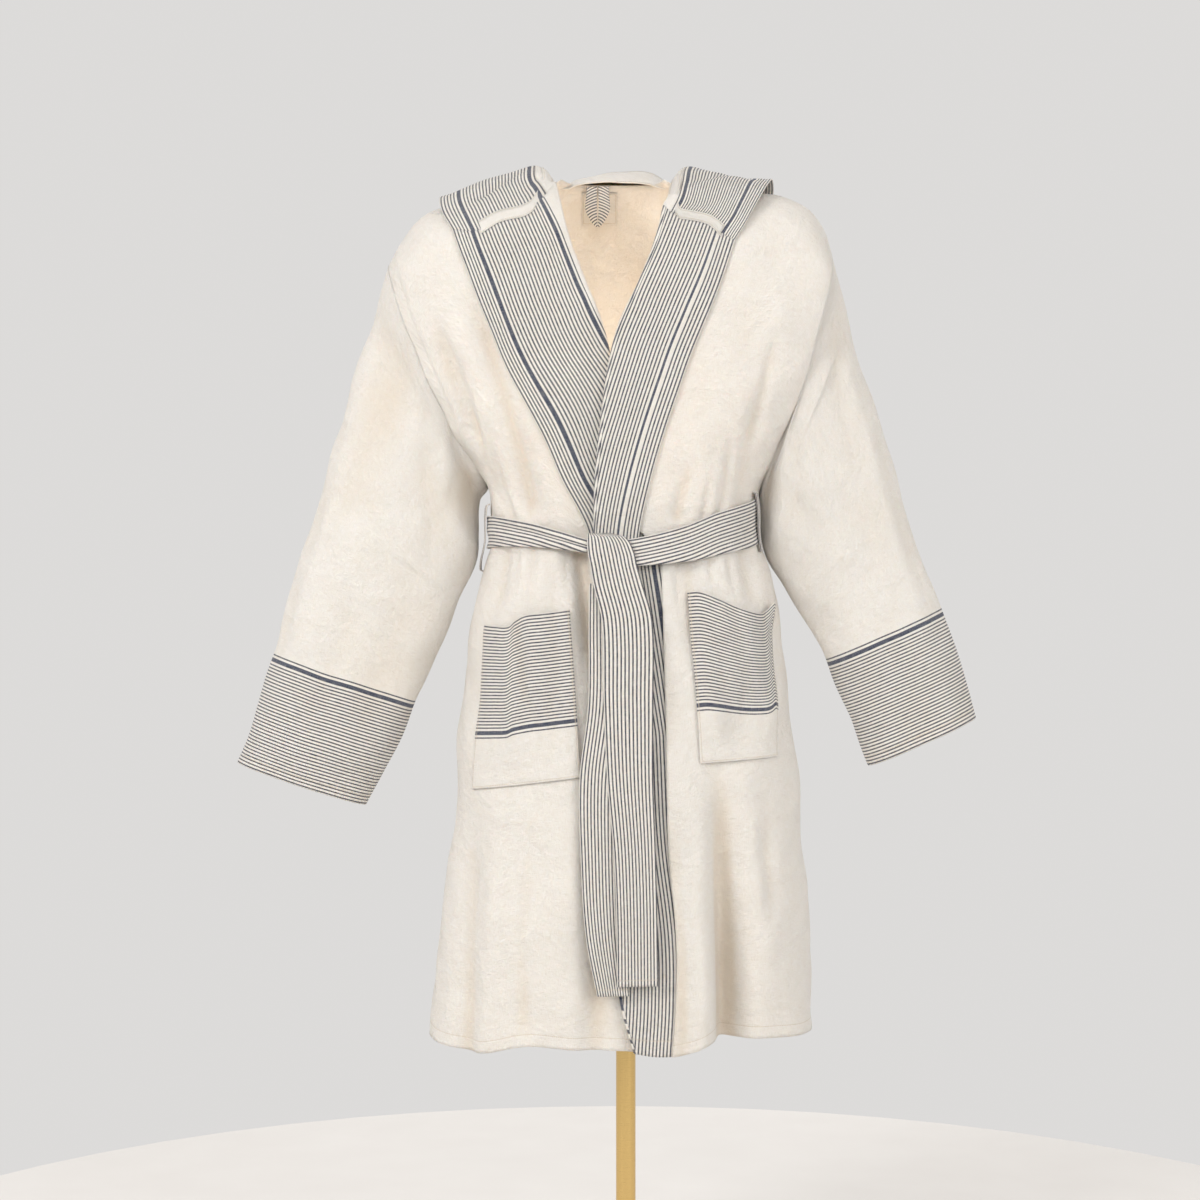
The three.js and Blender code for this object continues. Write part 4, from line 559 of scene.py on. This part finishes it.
def sleeve(side, rows=150, around=120):
    """Rings from the armhole to the cuff: the first is the armhole's seam, front then back, and
    the others are squared ellipses between an outer and an inner edge."""
    u = np.arange(around) / around
    turn = 2 * math.pi * u
    step = np.where(u <= 0.5, 1 - 2 * u, 2 * u - 1)
    q = armhole_rows(step)
    x, z = armhole_x(side, q), mix(ARMPIT_Z, TIP[side][1], q)
    armhole = np.where((u <= 0.5)[:, None], on_front(side, x, z), on_back(x, z))
    cut = SLEEVES[side]
    reach = np.sign(np.cos(turn)) * np.abs(np.cos(turn)) ** (2 / 2.2)
    deep = np.sign(np.sin(turn)) * np.abs(np.sin(turn)) ** (2 / 2.2)
    half_x, half_z = (cut["out_x"] - cut["in_x"]) / 2, (cut["out_z"] - cut["in_z"]) / 2
    depth = np.where(deep > 0, cut["front"][:, None], cut["back"][:, None])
    rings = np.stack([
        (cut["out_x"] + cut["in_x"])[:, None] / 2 + half_x[:, None] * reach,
        cut["mid"][:, None] - depth * deep,
        (cut["out_z"] + cut["in_z"])[:, None] / 2 + half_z[:, None] * reach], axis=-1)
    at = np.linspace(0, 9, rows)
    points = through(np.concatenate([armhole[None], rings]), at)
    middle = points.mean(axis=1, keepdims=True)
    pinch = 0
    for degrees, first, last, depth, spread, drift in SLEEVE_FOLDS[side]:
        share = (at - first) / (last - first)
        away = np.abs((np.degrees(turn)[None, :] - degrees - drift * (at - first)[:, None] + 540) % 360 - 180)
        fade = np.where((share > 0) & (share <= 1), np.sin(math.pi * np.minimum(share + 0.15, 1)), 0)
        pinch = pinch + depth * (fade * smooth(at / 0.8))[:, None] * np.exp(-((away / spread) ** 2))
    pinch = pinch + rumple(*np.moveaxis(points, -1, 0)) * smooth(at / 0.8)[:, None]
    arm = np.linalg.norm(points - middle, axis=-1, keepdims=True)
    return points + (middle - points) * pinch[..., None] / arm, np.clip(pinch / 16, 0, 1)


for side, name, flat, area in ((-1, "sleeve_right", (0.77, 0.67), 0.274),
                               (1, "sleeve_left", (0.79, 0.63), 0.23)):
    points, hollow = sleeve(side)
    to_cuff = spans(points[::-1], 0)[::-1]
    uv = to_cuff / 4.2, spans(points, 1) / 4.2
    piece = shell(name + "_cloth", points, uv, end_cotton, ("stand_pad_" + name[7:],),
                  valley=hollow, stitch=to_cuff - 12, closed=True)
    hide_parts(name)


# The bands along the front
# Each front ends in the woven border. Above the belt it is turned out over a soft roll and lies
# on the chest as a lapel; below the belt it hangs straight, the left one folded back on itself.
LAPEL_TOP = {
    -1: table("way z", (0, 1428), (0.15, 1404), (0.3, 1388), (0.55, 1380), (0.78, 1364), (1, 1366)),
    1: table("way z", (0, 1395), (0.12, 1385), (0.35, 1382), (0.6, 1376), (0.85, 1358), (1, 1352)),
}
LAPEL_END_Z = {-1: 1416, 1: 1378}
HIDDEN = {-1: 14, 1: 34}
SIDE_NAME = {-1: "right", 1: "left"}
LAPEL_FOOT = 977.0
ROLL = 3.1  # radius of the roll
LIE = 3.4  # how far a layer of cloth lies above the one under it


def lapel(side, way, layer, rise):
    """Points of a lapel: way runs from -1 at the hidden seam, 0 at the roll, to 1 at the free
    edge; rise climbs from the belt to the neck seam."""
    top = np.where(way > 0, along(LAPEL_TOP[side], "way", np.maximum(way, 0), "z"),
                   mix(LAPEL_TOP[side]["z"][0], LAPEL_END_Z[side], np.clip(-way, 0, 1)))
    z = mix(LAPEL_FOOT, top, rise)
    roll = along(EDGES, "z", z, "roll_" + SIDE_NAME[side])
    free = along(EDGES, "z", z, "free_" + SIDE_NAME[side])
    x = np.where(way < 0, roll - side * HIDDEN[side] * way, mix(roll, free, way))
    return x, z, layer


def lapel_profile():
    """Across a lapel: under the roll, half a circle round it, then out to the free edge."""
    under = np.linspace(-1, -0.12, 10)
    out = np.linspace(0.04, 1, 70)
    way = np.concatenate([under, np.zeros(11), out])
    bend = np.concatenate([np.zeros(10), np.linspace(0, math.pi, 11), np.full(70, math.pi)])
    layer = ROLL * (1 - np.cos(bend)) - np.clip(way, 0, 1) * (2 * ROLL - LIE)
    tuck = ROLL * (1 - np.sin(bend)) * (way == 0)
    return way[None, :], layer[None, :], tuck[None, :]


way, layer, tuck = lapel_profile()
for side in (-1, 1):
    rise = np.linspace(0, 1, 130)[:, None]
    x, z, lift = lapel(side, way, layer, rise)
    slope = np.gradient(along(EDGES, "z", z[:, -1], "free_" + SIDE_NAME[side]), z[:, -1])
    straight = np.cos(np.arctan(slope))[:, None]
    points = on_front(side, x + side * tuck, z, lift, 0.8)
    from_free = spans(points[:, ::-1], 1)[:, ::-1] * straight
    uv = from_free / 4.25, spans(points, 0) / PITCH
    flat, area = ((0.20, 0.50), 0.0605) if side < 0 else ((0.165, 0.46), 0.051)
    piece = shell("lapel_" + SIDE_NAME[side], points, uv, border_cotton if side < 0 else border_left,
                  ("front_%s_panel" % SIDE_NAME[side],))
    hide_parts("front_band_" + SIDE_NAME[side])

# left band below the belt: from its folded-back part round the fold to under the panel's edge
z = np.linspace(HEM, 982.5, 130)[:, None]
bend = np.linspace(0, math.pi, 9)[None, :]
fold_x, seam_x = along(SKIRT, "z", z, "fold"), along(SKIRT, "z", z, "seam") + 9
behind = np.linspace(28, 3, 12)[None, :]
before = np.linspace(0.04, 1, 34)[None, :]
x = np.concatenate([fold_x + behind, fold_x + 2.6 * (1 - np.sin(bend)),
                    mix(fold_x, seam_x, before)], axis=1)
level = np.concatenate([np.full((1, 12), -9.0), -9 + 2.8 * (1 - np.cos(bend)),
                        np.full((1, 34), -LIE)], axis=1)
points = on_front(1, x, z, level, 0.3)
points[..., 2] += hem_drop(x, z)
under = np.interp(z, [357, 500, 742, 947], [35, 33, 25, 0])
wide = seam_x - fold_x
seen = np.concatenate([wide + 30 - behind, wide + 3 - bend * 0, wide * (1 - before)], axis=1)
uv = 30.0 - (seen - 9 + under) / PITCH, spans(points, 0) / PITCH
piece = shell("skirt_edge_left", points, uv, border_cotton, ("front_left_panel",),
              stitch=spans(points, 0) - 20)
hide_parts("skirt_band_left")

# right band below the belt, flat behind it
end = mix(88, 122, smooth((z - 560) / 200))
x = mix(band_seam(-1, z) + 0.8, end, np.linspace(0, 1, 30)[None, :])
points = on_front(-1, x, z, 0.0, 0.3)
uv = 30.0 - (x - 24) / PITCH, spans(points, 0) / PITCH
piece = shell("skirt_edge_right", points, uv, border_cotton, ("front_right_panel",),
              stitch=spans(points, 0) - 20)
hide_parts("skirt_band_right")


# The hood
# Two halves joined at the back, lying over the shoulders and down the back. The striped border
# runs round the opening and goes on from the lapels; the cream part is bunched beside the neck.
HOOD_COLUMNS = "i out_x out_run neck_x neck_run rise puff edge"
HOOD = {
    -1: table(HOOD_COLUMNS,
              (0, -215, -113, -90, -66, 7, 2, 0), (1, -230, -74, -92, -50, 10, 8, 4),
              (2, -236, -30, -94, -32, 15, 16, 10), (3, -236, 26, -95, -6, 20, 19, 13),
              (4, -231, 90, -92, 24, 19, 20, 8), (5, -217, 160, -80, 42, 12, 22, 3),
              (6, -180, 228, -68, 48.5, 12, 26, 0), (7, -112, 280, -46, 48.5, 16, 29, 0),
              (8, -17, 296, -17, 48.5, 28, 30, 0)),
    1: table(HOOD_COLUMNS,
             (0, 134, -150, 45, -121, 7, 2, 0), (1, 152, -112, 52, -96, 9, 7, 5),
             (2, 173, -60, 58, -54, 13, 13, 12), (3, 189, 0, 64, -5, 17, 15, 17),
             (4, 190, 78, 60, 24, 16, 17, 9), (5, 176, 160, 46, 42, 18, 21, 3),
             (6, 142, 228, 35, 48.5, 29, 26, 0), (7, 76, 280, 12, 48.5, 34, 29, 0),
             (8, -17, 296, -17, 48.5, 28, 30, 0)),
}
HOOD_CREASES = {  # place along v and across, their spreads, slant, and depth
    -1: [(0.16, 0.42, 0.03, 0.2, 0.25, 5), (0.24, 0.62, 0.028, 0.25, 0.3, 5), (0.33, 0.3, 0.03, 0.25, 0.2, 4),
         (0.45, 0.55, 0.04, 0.35, -0.2, 6), (0.62, 0.45, 0.05, 0.4, 0.2, 7), (0.8, 0.5, 0.05, 0.4, -0.2, 7),
         (0.1, 0.75, 0.03, 0.18, 0.2, 3)],
    1: [(0.14, 0.5, 0.03, 0.22, -0.2, 4), (0.26, 0.66, 0.03, 0.25, -0.3, 5), (0.36, 0.35, 0.03, 0.25, 0.2, 4),
        (0.48, 0.5, 0.04, 0.35, 0.2, 6), (0.66, 0.45, 0.05, 0.4, -0.2, 7), (0.84, 0.5, 0.05, 0.4, 0.2, 7)],
}


ROUND_RUN = 158


def over_shoulder(x, run, off):
    """Points by x and a run over the shoulder's ridge, front negative: a quarter circle's worth
    of the rounding in the first ROUND_RUN mm, then straight down."""
    away = np.abs(run)
    bend = np.minimum(away / ROUND_RUN, 1) * math.pi / 2
    z = along(SHOULDER, "x", x, "z") - CLOSING * (1 - np.cos(bend)) - np.maximum(away - ROUND_RUN, 0)
    turn = turn_at(x, z)
    return ring(np.where(run < 0, turn, math.pi - turn), z, off, 0.3)[0]


def hood_point(side, v, way):
    """Points of the hood: v from the front edge round to the centre seam, way from the free
    edge to the neck. The cloth stands up in a hump by the neck, and its front edge is sewn to
    the lapel's top."""
    cut = {column: along(HOOD[side], "i", v * 8, column) for column in HOOD_COLUMNS.split()[1:]}
    x = mix(cut["out_x"], cut["neck_x"], way)
    run = mix(cut["out_run"], cut["neck_run"], way)
    off = cut["rise"] * np.sin(math.pi * way ** 5) + cut["puff"] * np.sin(math.pi * way) ** 1.2
    off = off + cut["edge"] * (1 - way) ** 3
    for v0, way0, long, wide, slant, depth in HOOD_CREASES[side]:
        d = (v - v0 - slant * (way - way0)) / long
        off = off - depth * np.exp(-d * d - ((way - way0) / wide) ** 2) * smooth(v * 9)
    points = over_shoulder(x, run, LIE + off)
    sewn = lapel_top(side, way) - over_shoulder(
        mix(HOOD[side]["out_x"][0], HOOD[side]["neck_x"][0], way),
        mix(HOOD[side]["out_run"][0], HOOD[side]["neck_run"][0], way),
        LIE + 7 * np.sin(math.pi * way ** 5) + 2 * np.sin(math.pi * way) ** 1.2)
    return points + sewn * (1 - smooth(v * 8))[..., None]


def lapel_top(side, way):
    """The top edge of a lapel, where way counts from its free edge as the hood's does."""
    across = np.clip(1 - way, 0.005, 1)
    x, z, lift = lapel(side, across, mix(2 * ROLL, LIE, across), np.ones_like(across))
    return on_front(side, x, z, lift, 0.8)


def band_share(side, v):
    """Share of the hood's width that the striped border takes."""
    ends = hood_point(side, v, np.zeros_like(v)), hood_point(side, v, np.ones_like(v))
    width = np.linalg.norm(ends[1] - ends[0], axis=-1)
    return mix(0.9, np.minimum(1 - 13 / width, 124 / width), smooth(v * 6))


for side in (-1, 1):
    v = np.linspace(0, 1, 110)[:, None]
    share = band_share(side, v)
    across = np.linspace(0, 1, 46)[None, :]
    name = "hood_band_" + SIDE_NAME[side]
    points = hood_point(side, v + 0 * across, share * across)
    uv = across * 30.0, spans(points, 0).mean(axis=1, keepdims=True) / PITCH
    piece = shell(name + "_cloth", points, uv, border_cotton,
                  ("back_panel",), valley=valley_of(points, 6) * 0.6)
    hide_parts(name)
    name = "hood_" + SIDE_NAME[side]
    points = hood_point(side, v + 0 * across, mix(share, 1, across))
    uv = spans(points, 1) / PITCH, spans(points, 0) / PITCH
    piece = shell(name + "_cloth", points, uv, plain_cotton, ("back_panel",),
                  valley=valley_of(points, 6))
    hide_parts(name)


# The neck tape
# A cream tape covers the seam between hood and robe: 14 to 22 mm wide across the lapels and up
# their inner edges, and up to 42 mm round the back of the neck. Both its sides are stitched.
def tape_across(side, way):
    """Lines of the tape over the lapel's top seam: three points each, low to high."""
    x, z, lift = lapel(side, 1 - way, mix(2 * ROLL, LIE, 1 - way), np.ones_like(way))
    low = on_front(side, x, z - 6.5, lift + 2.0, 0.8)
    middle = on_front(side, x, z, lift + 2.4, 0.8)
    high = hood_point(side, np.full_like(way, 0.035), way)
    high[..., 1] -= 2.0
    high[..., 2] += 0.8
    return np.stack([low, middle, high])


def tape_up(side, v):
    """Lines of the tape on the hood beside its neck edge."""
    neck = hood_point(side, v, np.ones_like(v))
    width = np.linalg.norm(hood_point(side, v, np.zeros_like(v)) - neck, axis=-1)
    lines = np.stack([hood_point(side, v, 1 - t * 13 / width - 0.6 / width) for t in (0.0, 0.5, 1.0)])
    face = np.cross(lines[2] - lines[0], np.gradient(lines[1], axis=0))
    face = face / np.maximum(np.linalg.norm(face, axis=-1, keepdims=True), 1e-6)
    face = face * np.where(face[..., 2:] < 0, -1, 1)
    lines = lines + face * 2.0
    lines[0] += np.array([0, -9.5, -6.5]) * smooth((v - 0.45) / 0.2)[:, None]
    return lines


right_way, left_way = np.linspace(0.24, 0.80, 26), np.linspace(0.84, 0.20, 26)
right_up, left_up = np.linspace(0.11, 1, 60), np.linspace(0.985, 0.11, 60)
lines = np.concatenate([tape_across(-1, right_way), tape_up(-1, right_up),
                        tape_up(1, left_up), tape_across(1, left_way)], axis=1)
kernel = np.hanning(9) / np.hanning(9).sum()
padded = np.pad(lines, ((0, 0), (4, 4), (0, 0)), mode="edge")
soft = sum(k * padded[:, i:i + lines.shape[1]] for i, k in enumerate(kernel))
tape_rows = np.concatenate([soft[:1], mix(soft[0], soft[1], 0.5)[None], soft[1:2],
                            mix(soft[1], soft[2], 0.5)[None], soft[2:]])
uv = spans(tape_rows, 0) / PITCH, spans(tape_rows, 1) / PITCH
wide = spans(tape_rows, 0)
piece = shell("neck_tape_cloth", tape_rows, uv, plain_cotton, ("lapel_right", "lapel_left"),
              thick=1.1, stitch=np.minimum(wide, wide[-1:] - wide) - 2)
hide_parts("neck_tape")


# The pockets
# Patch pockets cut from the end of the cloth, with the woven border at the mouth. The mouth
# hangs a little open and the cloth sags.
POCKETS = {  # outer and inner corners of the mouth and the foot
    -1: ((-174, 876), (-70, 895), (-189, 672), (-56, 690)),
    1: ((174, 893), (74, 917), (184, 712), (90, 706)),
}
MOUTHS = {  # how far the mouth's edge and the stripes under it dip or rise
    -1: table("u rise", (0, 0), (0.18, -4.7), (0.32, -7.4), (0.38, -1.5), (0.53, 2.3), (0.69, 1.6), (1, 0)),
    1: table("u rise", (0, 6), (0.03, 10), (0.08, 0), (0.14, -6), (0.32, -8), (0.51, -4.6), (0.69, 0),
             (0.87, 3.6), (1, 0)),
}
for side in (-1, 1):
    mouth_out, mouth_in, foot_out, foot_in = np.array(POCKETS[side], float)
    line = MOUTHS[side]
    v, u = np.linspace(0, 1, 90)[:, None, None], np.linspace(0, 1, 70)[None, :, None]
    spot = mix(mix(foot_out, foot_in, u), mix(mouth_out, mouth_in, u), v)
    v, u = v[..., 0], u[..., 0]
    spot[..., 1] += along(line, "u", u, "rise") * smooth(v * 3) * (0.35 + 0.65 * v ** 2)
    slack = 11 * np.sin(math.pi * u) * smooth(v * 1.2)
    if side > 0:  # a slanting valley, and a corner of the mouth that curls out
        slack = slack - 5 * np.exp(-((u - 0.36 - 0.3 * (v - 0.5)) / 0.12) ** 2) * smooth(v * 2.5)
        slack = slack + 7 * np.exp(-((u - 0.03) / 0.05) ** 2) * smooth((v - 0.8) * 5)
    else:
        slack = slack - 8 * np.exp(-((u - 0.50 + 0.2 * (v - 0.5)) / 0.09) ** 2) * smooth(v * 2)
    slack = slack + 1.2 * np.sin(9 * u + 4 * v) * smooth(v * 3) * smooth((1 - u) * 5) * smooth(u * 5)
    points = on_front(side, spot[..., 0], spot[..., 1], LIE + np.maximum(slack, 0), 0.8)
    wide = spans(points, 1)
    edge = np.minimum(np.minimum(wide, wide[:, -1:] - wide), spans(points, 0))
    uv = (1 - v) * 50.0 + 0 * u, wide / 4.1
    flat, area = ((0.15, 0.206), 0.0285) if side < 0 else ((0.138, 0.212), 0.024)
    piece = shell("pocket_%s_cloth" % SIDE_NAME[side], points, uv, end_cotton,
                  ("front_%s_panel" % SIDE_NAME[side],), valley=valley_of(points, 6),
                  stitch=edge - 2.5)
    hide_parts("pocket_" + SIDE_NAME[side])


# The belt
# A long striped tie folded in two lengthwise. It passes through a loop at each side, and its
# ends are tied once in front and hang down, the front one over the other.
BELT_PITCH = 4.3
BELT_COLUMNS = "turn z wide off"
BELT_LINES = {
    "belt_front_right": table(BELT_COLUMNS, (-96, 993, 40, 4.2), (-66, 993, 38, 4.2), (-40, 988, 30, 6.5),
                              (-24, 981, 22, 10.5), (-11.6, 973, 15, 13.5)),
    "belt_front_left": table(BELT_COLUMNS, (-6, 962, 30, 12), (3.25, 966, 34, 13.5), (21, 976, 43, 9),
                             (40, 990, 51, 5.5), (74, 1006, 57, 4.2)),
    "belt_back": table(BELT_COLUMNS, (74.1, 1006, 57, 4.2), (140, 1010, 57, 4.2), (210, 1006, 52, 4.2),
                       (263.9, 993, 40, 4.2)),
}
for name, line in BELT_LINES.items():
    turn = np.linspace(line["turn"][0], line["turn"][-1], 150)[None, :]
    v = np.linspace(0, 1, 25)[:, None]
    wide, off = along(line, "turn", turn, "wide"), along(line, "turn", turn, "off")
    slack = (57 - wide) / 57
    pleat = slack * 2.4 * np.sin(v * 11 + 0.05 * turn) + 0.5 * np.sin(v * 6.28 + 0.11 * turn)
    round_edge = 1.2 * (1 - np.abs(2 * v - 1) ** 6)
    points, _ = ring(np.radians(turn), along(line, "turn", turn, "z") + (v - 0.5) * wide,
                     off + pleat + round_edge - 0.6, 0)
    uv = (1 - v) * wide / BELT_PITCH, spans(points, 1) / BELT_PITCH
    flat, area = {"belt_front_right": ((0.22, 0.041), 0.0073), "belt_front_left": ((0.233, 0.057), 0.0111),
                  "belt_back": ((0.50, 0.058), 0.027)}[name]
    piece = shell(name + "_cloth", points, uv, ticking, ("back_panel", "front_left_panel"),
                  thick=2.0)
    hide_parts(name)

TAILS = {
    "belt_tail_front": table("down x1 x2 off", (-988, -46.5, -20, 15), (-984, -46.5, -3, 20),
                             (-966, -46, 8, 21), (-948, -43, 12, 20), (-926.9, -40, 18, 17),
                             (-880, -30, 30, 15), (-780, -28, 31, 14), (-690, -24, 31, 13),
                             (-600, -16, 34, 13), (-520, -13, 36, 13), (-436, -12, 37, 13)),
    "belt_tail_back": table("down x1 x2 off", (-926.9, -45, 0, 10), (-880, -46, 4, 9), (-780, -47, 6, 8),
                            (-690, -57, -4, 8), (-600, -56, -6, 8), (-500, -50, -4, 8), (-424, -36, 2, 8)),
}
for name, cut in TAILS.items():
    down = np.linspace(cut["down"][0], cut["down"][-1], 140)[:, None]
    u = np.linspace(0, 1, 28)[None, :]
    high = smooth((-down - 915) / 40)
    bulge = 4 * high * (np.sin(math.pi * np.clip(u, 0.02, 0.98)) ** 0.4 - 1)
    ripple = bulge + 1.5 * np.sin(math.pi * u) + 0.9 * np.sin(5.2 * u + down * 0.011)
    ripple = ripple + 0.5 * np.sin(9 * u - down * 0.03)
    x1, x2, off = (along(cut, "down", down, column) for column in ("x1", "x2", "off"))
    points = on_front(1, mix(x1, x2, u), -down, off + ripple, 0)
    uv = u * 57 / 4.5 + 0 * down, spans(points, 0) / 4.5
    flat, area = ((0.062, 0.555), 0.031) if name == "belt_tail_front" else ((0.055, 0.505), 0.0255)
    piece = shell(name + "_cloth", points, uv, ticking, ("skirt_edge_left",),
                  thick=2.2, stitch=spans(points[::-1], 0)[::-1] - 8)
    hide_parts(*((name, "belt_knot") if name == "belt_tail_front" else (name,)))

for name, low, high, top, foot, flat in (("belt_loop_right", -92, -78, 1028, 944, (0.015, 0.1)),
                                         ("belt_loop_left", 75, 73, 1042, 968, (0.013, 0.08))):
    v, u = np.linspace(0, 1, 60)[:, None], np.linspace(-1, 1, 9)[None, :]
    bow = mix(2.5, 9, np.sin(math.pi * v) ** 0.25) + 0.5 * (1 - u * u)
    turn = np.radians(mix(low, high, v)) + u * math.atan2(7.5, 170)
    points, _ = ring(turn, mix(foot, top, v), bow, 0)
    uv = (u + 1) * 7.5 / 4.2 + 0.3 + 0 * v, spans(points, 0) / 4.2
    piece = shell(name + "_cloth", points, uv, ticking,
                  ("front_left_panel", "front_right_panel"))
    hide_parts(name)


# The hanging loop and the label
# A doubled striped strip sewn under the neck seam so that its two ends lie side by side, and a
# blank woven label stitched to the back panel behind it.
LOOP = table("z half y", (1393, 3, 53), (1402, 10, 53), (1416, 16, 53.2), (1432, 15, 54.8), (1446, 14, 56.7))
z = np.linspace(1393, 1446, 50)[:, None]
for side in (-1, 1):
    u = side * np.linspace(0.07, 1, 12)[None, ::side]
    half, deep = along(LOOP, "z", z, "half"), along(LOOP, "z", z, "y")
    points = np.stack(np.broadcast_arrays(-36 + u * half, deep - 1.2 * (1 - np.abs(u)) - 0.6, z), axis=-1)
    uv = spans(points, 0) / 3.9 + 0.8 * np.abs(u), np.abs(u) * 14 / 3.9 + 0 * z
    piece = shell("hanging_loop_" + SIDE_NAME[side], points, uv, ticking, ("back_panel",),
                  thick=1.2)
    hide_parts("hanging_loop")
low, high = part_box("neck_label")
x, z = np.linspace(low.x, high.x, 20)[None, :] * 1000, np.linspace(low.z, high.z, 16)[:, None] * 1000
points = on_back(x, z + 0 * x, -2.4)
wide, up = spans(points, 1), spans(points, 0)
edge = np.minimum(np.minimum(wide, wide[:, -1:] - wide), np.minimum(up, up[-1:] - up))
piece = shell("neck_label_cloth", points, (wide / 2, up / 2), plain_cotton, ("back_panel",),
              thick=0.8, stitch=edge - 2)
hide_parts("neck_label")


# The stand
# A turned base, a pole, a yoke and two shoulder pads. The metal is satin brass, lightly brushed
# round; the pads are turned wood.
brass = Look("satin brass", Metallic=1.0, Base_Color=(0.72, 0.50, 0.20, 1))
spot = brass.node("ShaderNodeTexCoord", {}, out=3)
brushed = brass.node("ShaderNodeMapping", {}, Vector=spot, Scale=(60, 60, 2500))
grain = brass.node("ShaderNodeTexNoise", {}, Vector=brushed, Scale=1.0, Detail=2.0)
brass.set(Roughness=grain * 0.1 + 0.24)
brass.set(Normal=brass.node("ShaderNodeBump", {}, Strength=0.02, Distance=0.0002, Height=grain))
wood = Look("turned wood", Roughness=0.5)
spot = wood.node("ShaderNodeTexCoord", {}, out=3)
drawn = wood.node("ShaderNodeMapping", {}, Vector=spot, Scale=(12, 90, 90))
rings_of_wood = wood.node("ShaderNodeTexNoise", {}, Vector=drawn, Scale=1.0, Detail=3.0)
wood.set(Base_Color=wood.blend(rings_of_wood, (0.52, 0.34, 0.18, 1), (0.70, 0.50, 0.30, 1)))
for name, look in (("stand_base", brass), ("stand_pole", brass), ("stand_yoke", brass),
                   ("stand_pad_right", wood), ("stand_pad_left", wood)):
    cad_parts[name].material_slots[0].material = look.material


# Floor, light and camera
# A pale plain floor, four large soft lights round the robe and an even sky. A small warm light
# inside the robe stands for the daylight that comes through the thin cloth.
FLOOR_RADIUS = 1.2
turn = np.linspace(0, 2 * math.pi, 64, endpoint=False)[:, None]
far = np.array([[0.005, 0.4, 0.8, FLOOR_RADIUS]])
disc = np.stack(np.broadcast_arrays(far * np.cos(turn), far * np.sin(turn), 0.0), axis=-1)
number = np.arange(disc.shape[0] * disc.shape[1]).reshape(disc.shape[:2])
after = np.roll(number, -1, axis=0)
faces = np.stack([number[:, :-1], number[:, 1:], after[:, 1:], after[:, :-1]], axis=-1)
mesh = bpy.data.meshes.new("floor")
mesh.from_pydata(disc.reshape(-1, 3), [], faces.reshape(-1, 4))
paint = Look("pale floor", Roughness=0.8)
grain = paint.node("ShaderNodeTexNoise", {}, Vector=paint.node("ShaderNodeTexCoord", {}, out=3), Scale=9.0)
paint.set(Base_Color=paint.blend(grain, (0.72, 0.69, 0.66, 1), (0.76, 0.735, 0.705, 1)))
mesh.materials.append(paint.material)
floor = bpy.data.objects.new("floor", mesh)
bpy.context.scene.collection.objects.link(floor)

SOFT_LIGHTS = (  # place and the point it faces in metres, its size in metres, and watts
    ("key", (-2.6, -2.7, 2.5), (0, 0, 0.95), 1.3, 78),
    ("fill", (2.6, -2.6, 1.6), (0, 0, 0.9), 2.0, 36),
    ("front", (0.1, -4.2, 1.9), (0, 0, 1.2), 1.2, 36),
    ("back", (0.6, 3.4, 2.6), (0, 0, 0.9), 2.0, 46))
for name, place, aim, size, power in SOFT_LIGHTS:
    lamp = bpy.data.lights.new(name, "AREA")
    lamp.size, lamp.energy = size, power
    light = bpy.data.objects.new(name, lamp)
    bpy.context.scene.collection.objects.link(light)
    light.location = place
    toward = np.array(aim) - np.array(place)
    light.rotation_euler = (math.atan2(math.hypot(toward[0], toward[1]), -toward[2]), 0,
                            math.atan2(toward[1], toward[0]) - math.pi / 2)
lamp = bpy.data.lights.new("through the cloth", "POINT")
lamp.energy, lamp.shadow_soft_size, lamp.color = 2.1, 0.05, (1.0, 0.88, 0.74)
light = bpy.data.objects.new("through the cloth", lamp)
bpy.context.scene.collection.objects.link(light)
light.location = (-0.02, -0.03, 1.15)
world = bpy.data.worlds.new("soft sky")
world.use_nodes = True
world.node_tree.nodes["Background"].inputs["Color"].default_value = (1.0, 0.985, 0.97, 1)
world.node_tree.nodes["Background"].inputs["Strength"].default_value = 0.72
bpy.context.scene.world = world
bpy.context.scene.view_settings.view_transform = "Standard"

camera = bpy.data.objects.new("camera", bpy.data.cameras.new("camera"))
bpy.context.scene.collection.objects.link(camera)
camera.location = (-0.033, -3.0, 0.907)
camera.rotation_euler = (math.pi / 2, 0, 0)
camera.data.sensor_width = 36
camera.data.lens = 70.3
bpy.context.scene.camera = camera
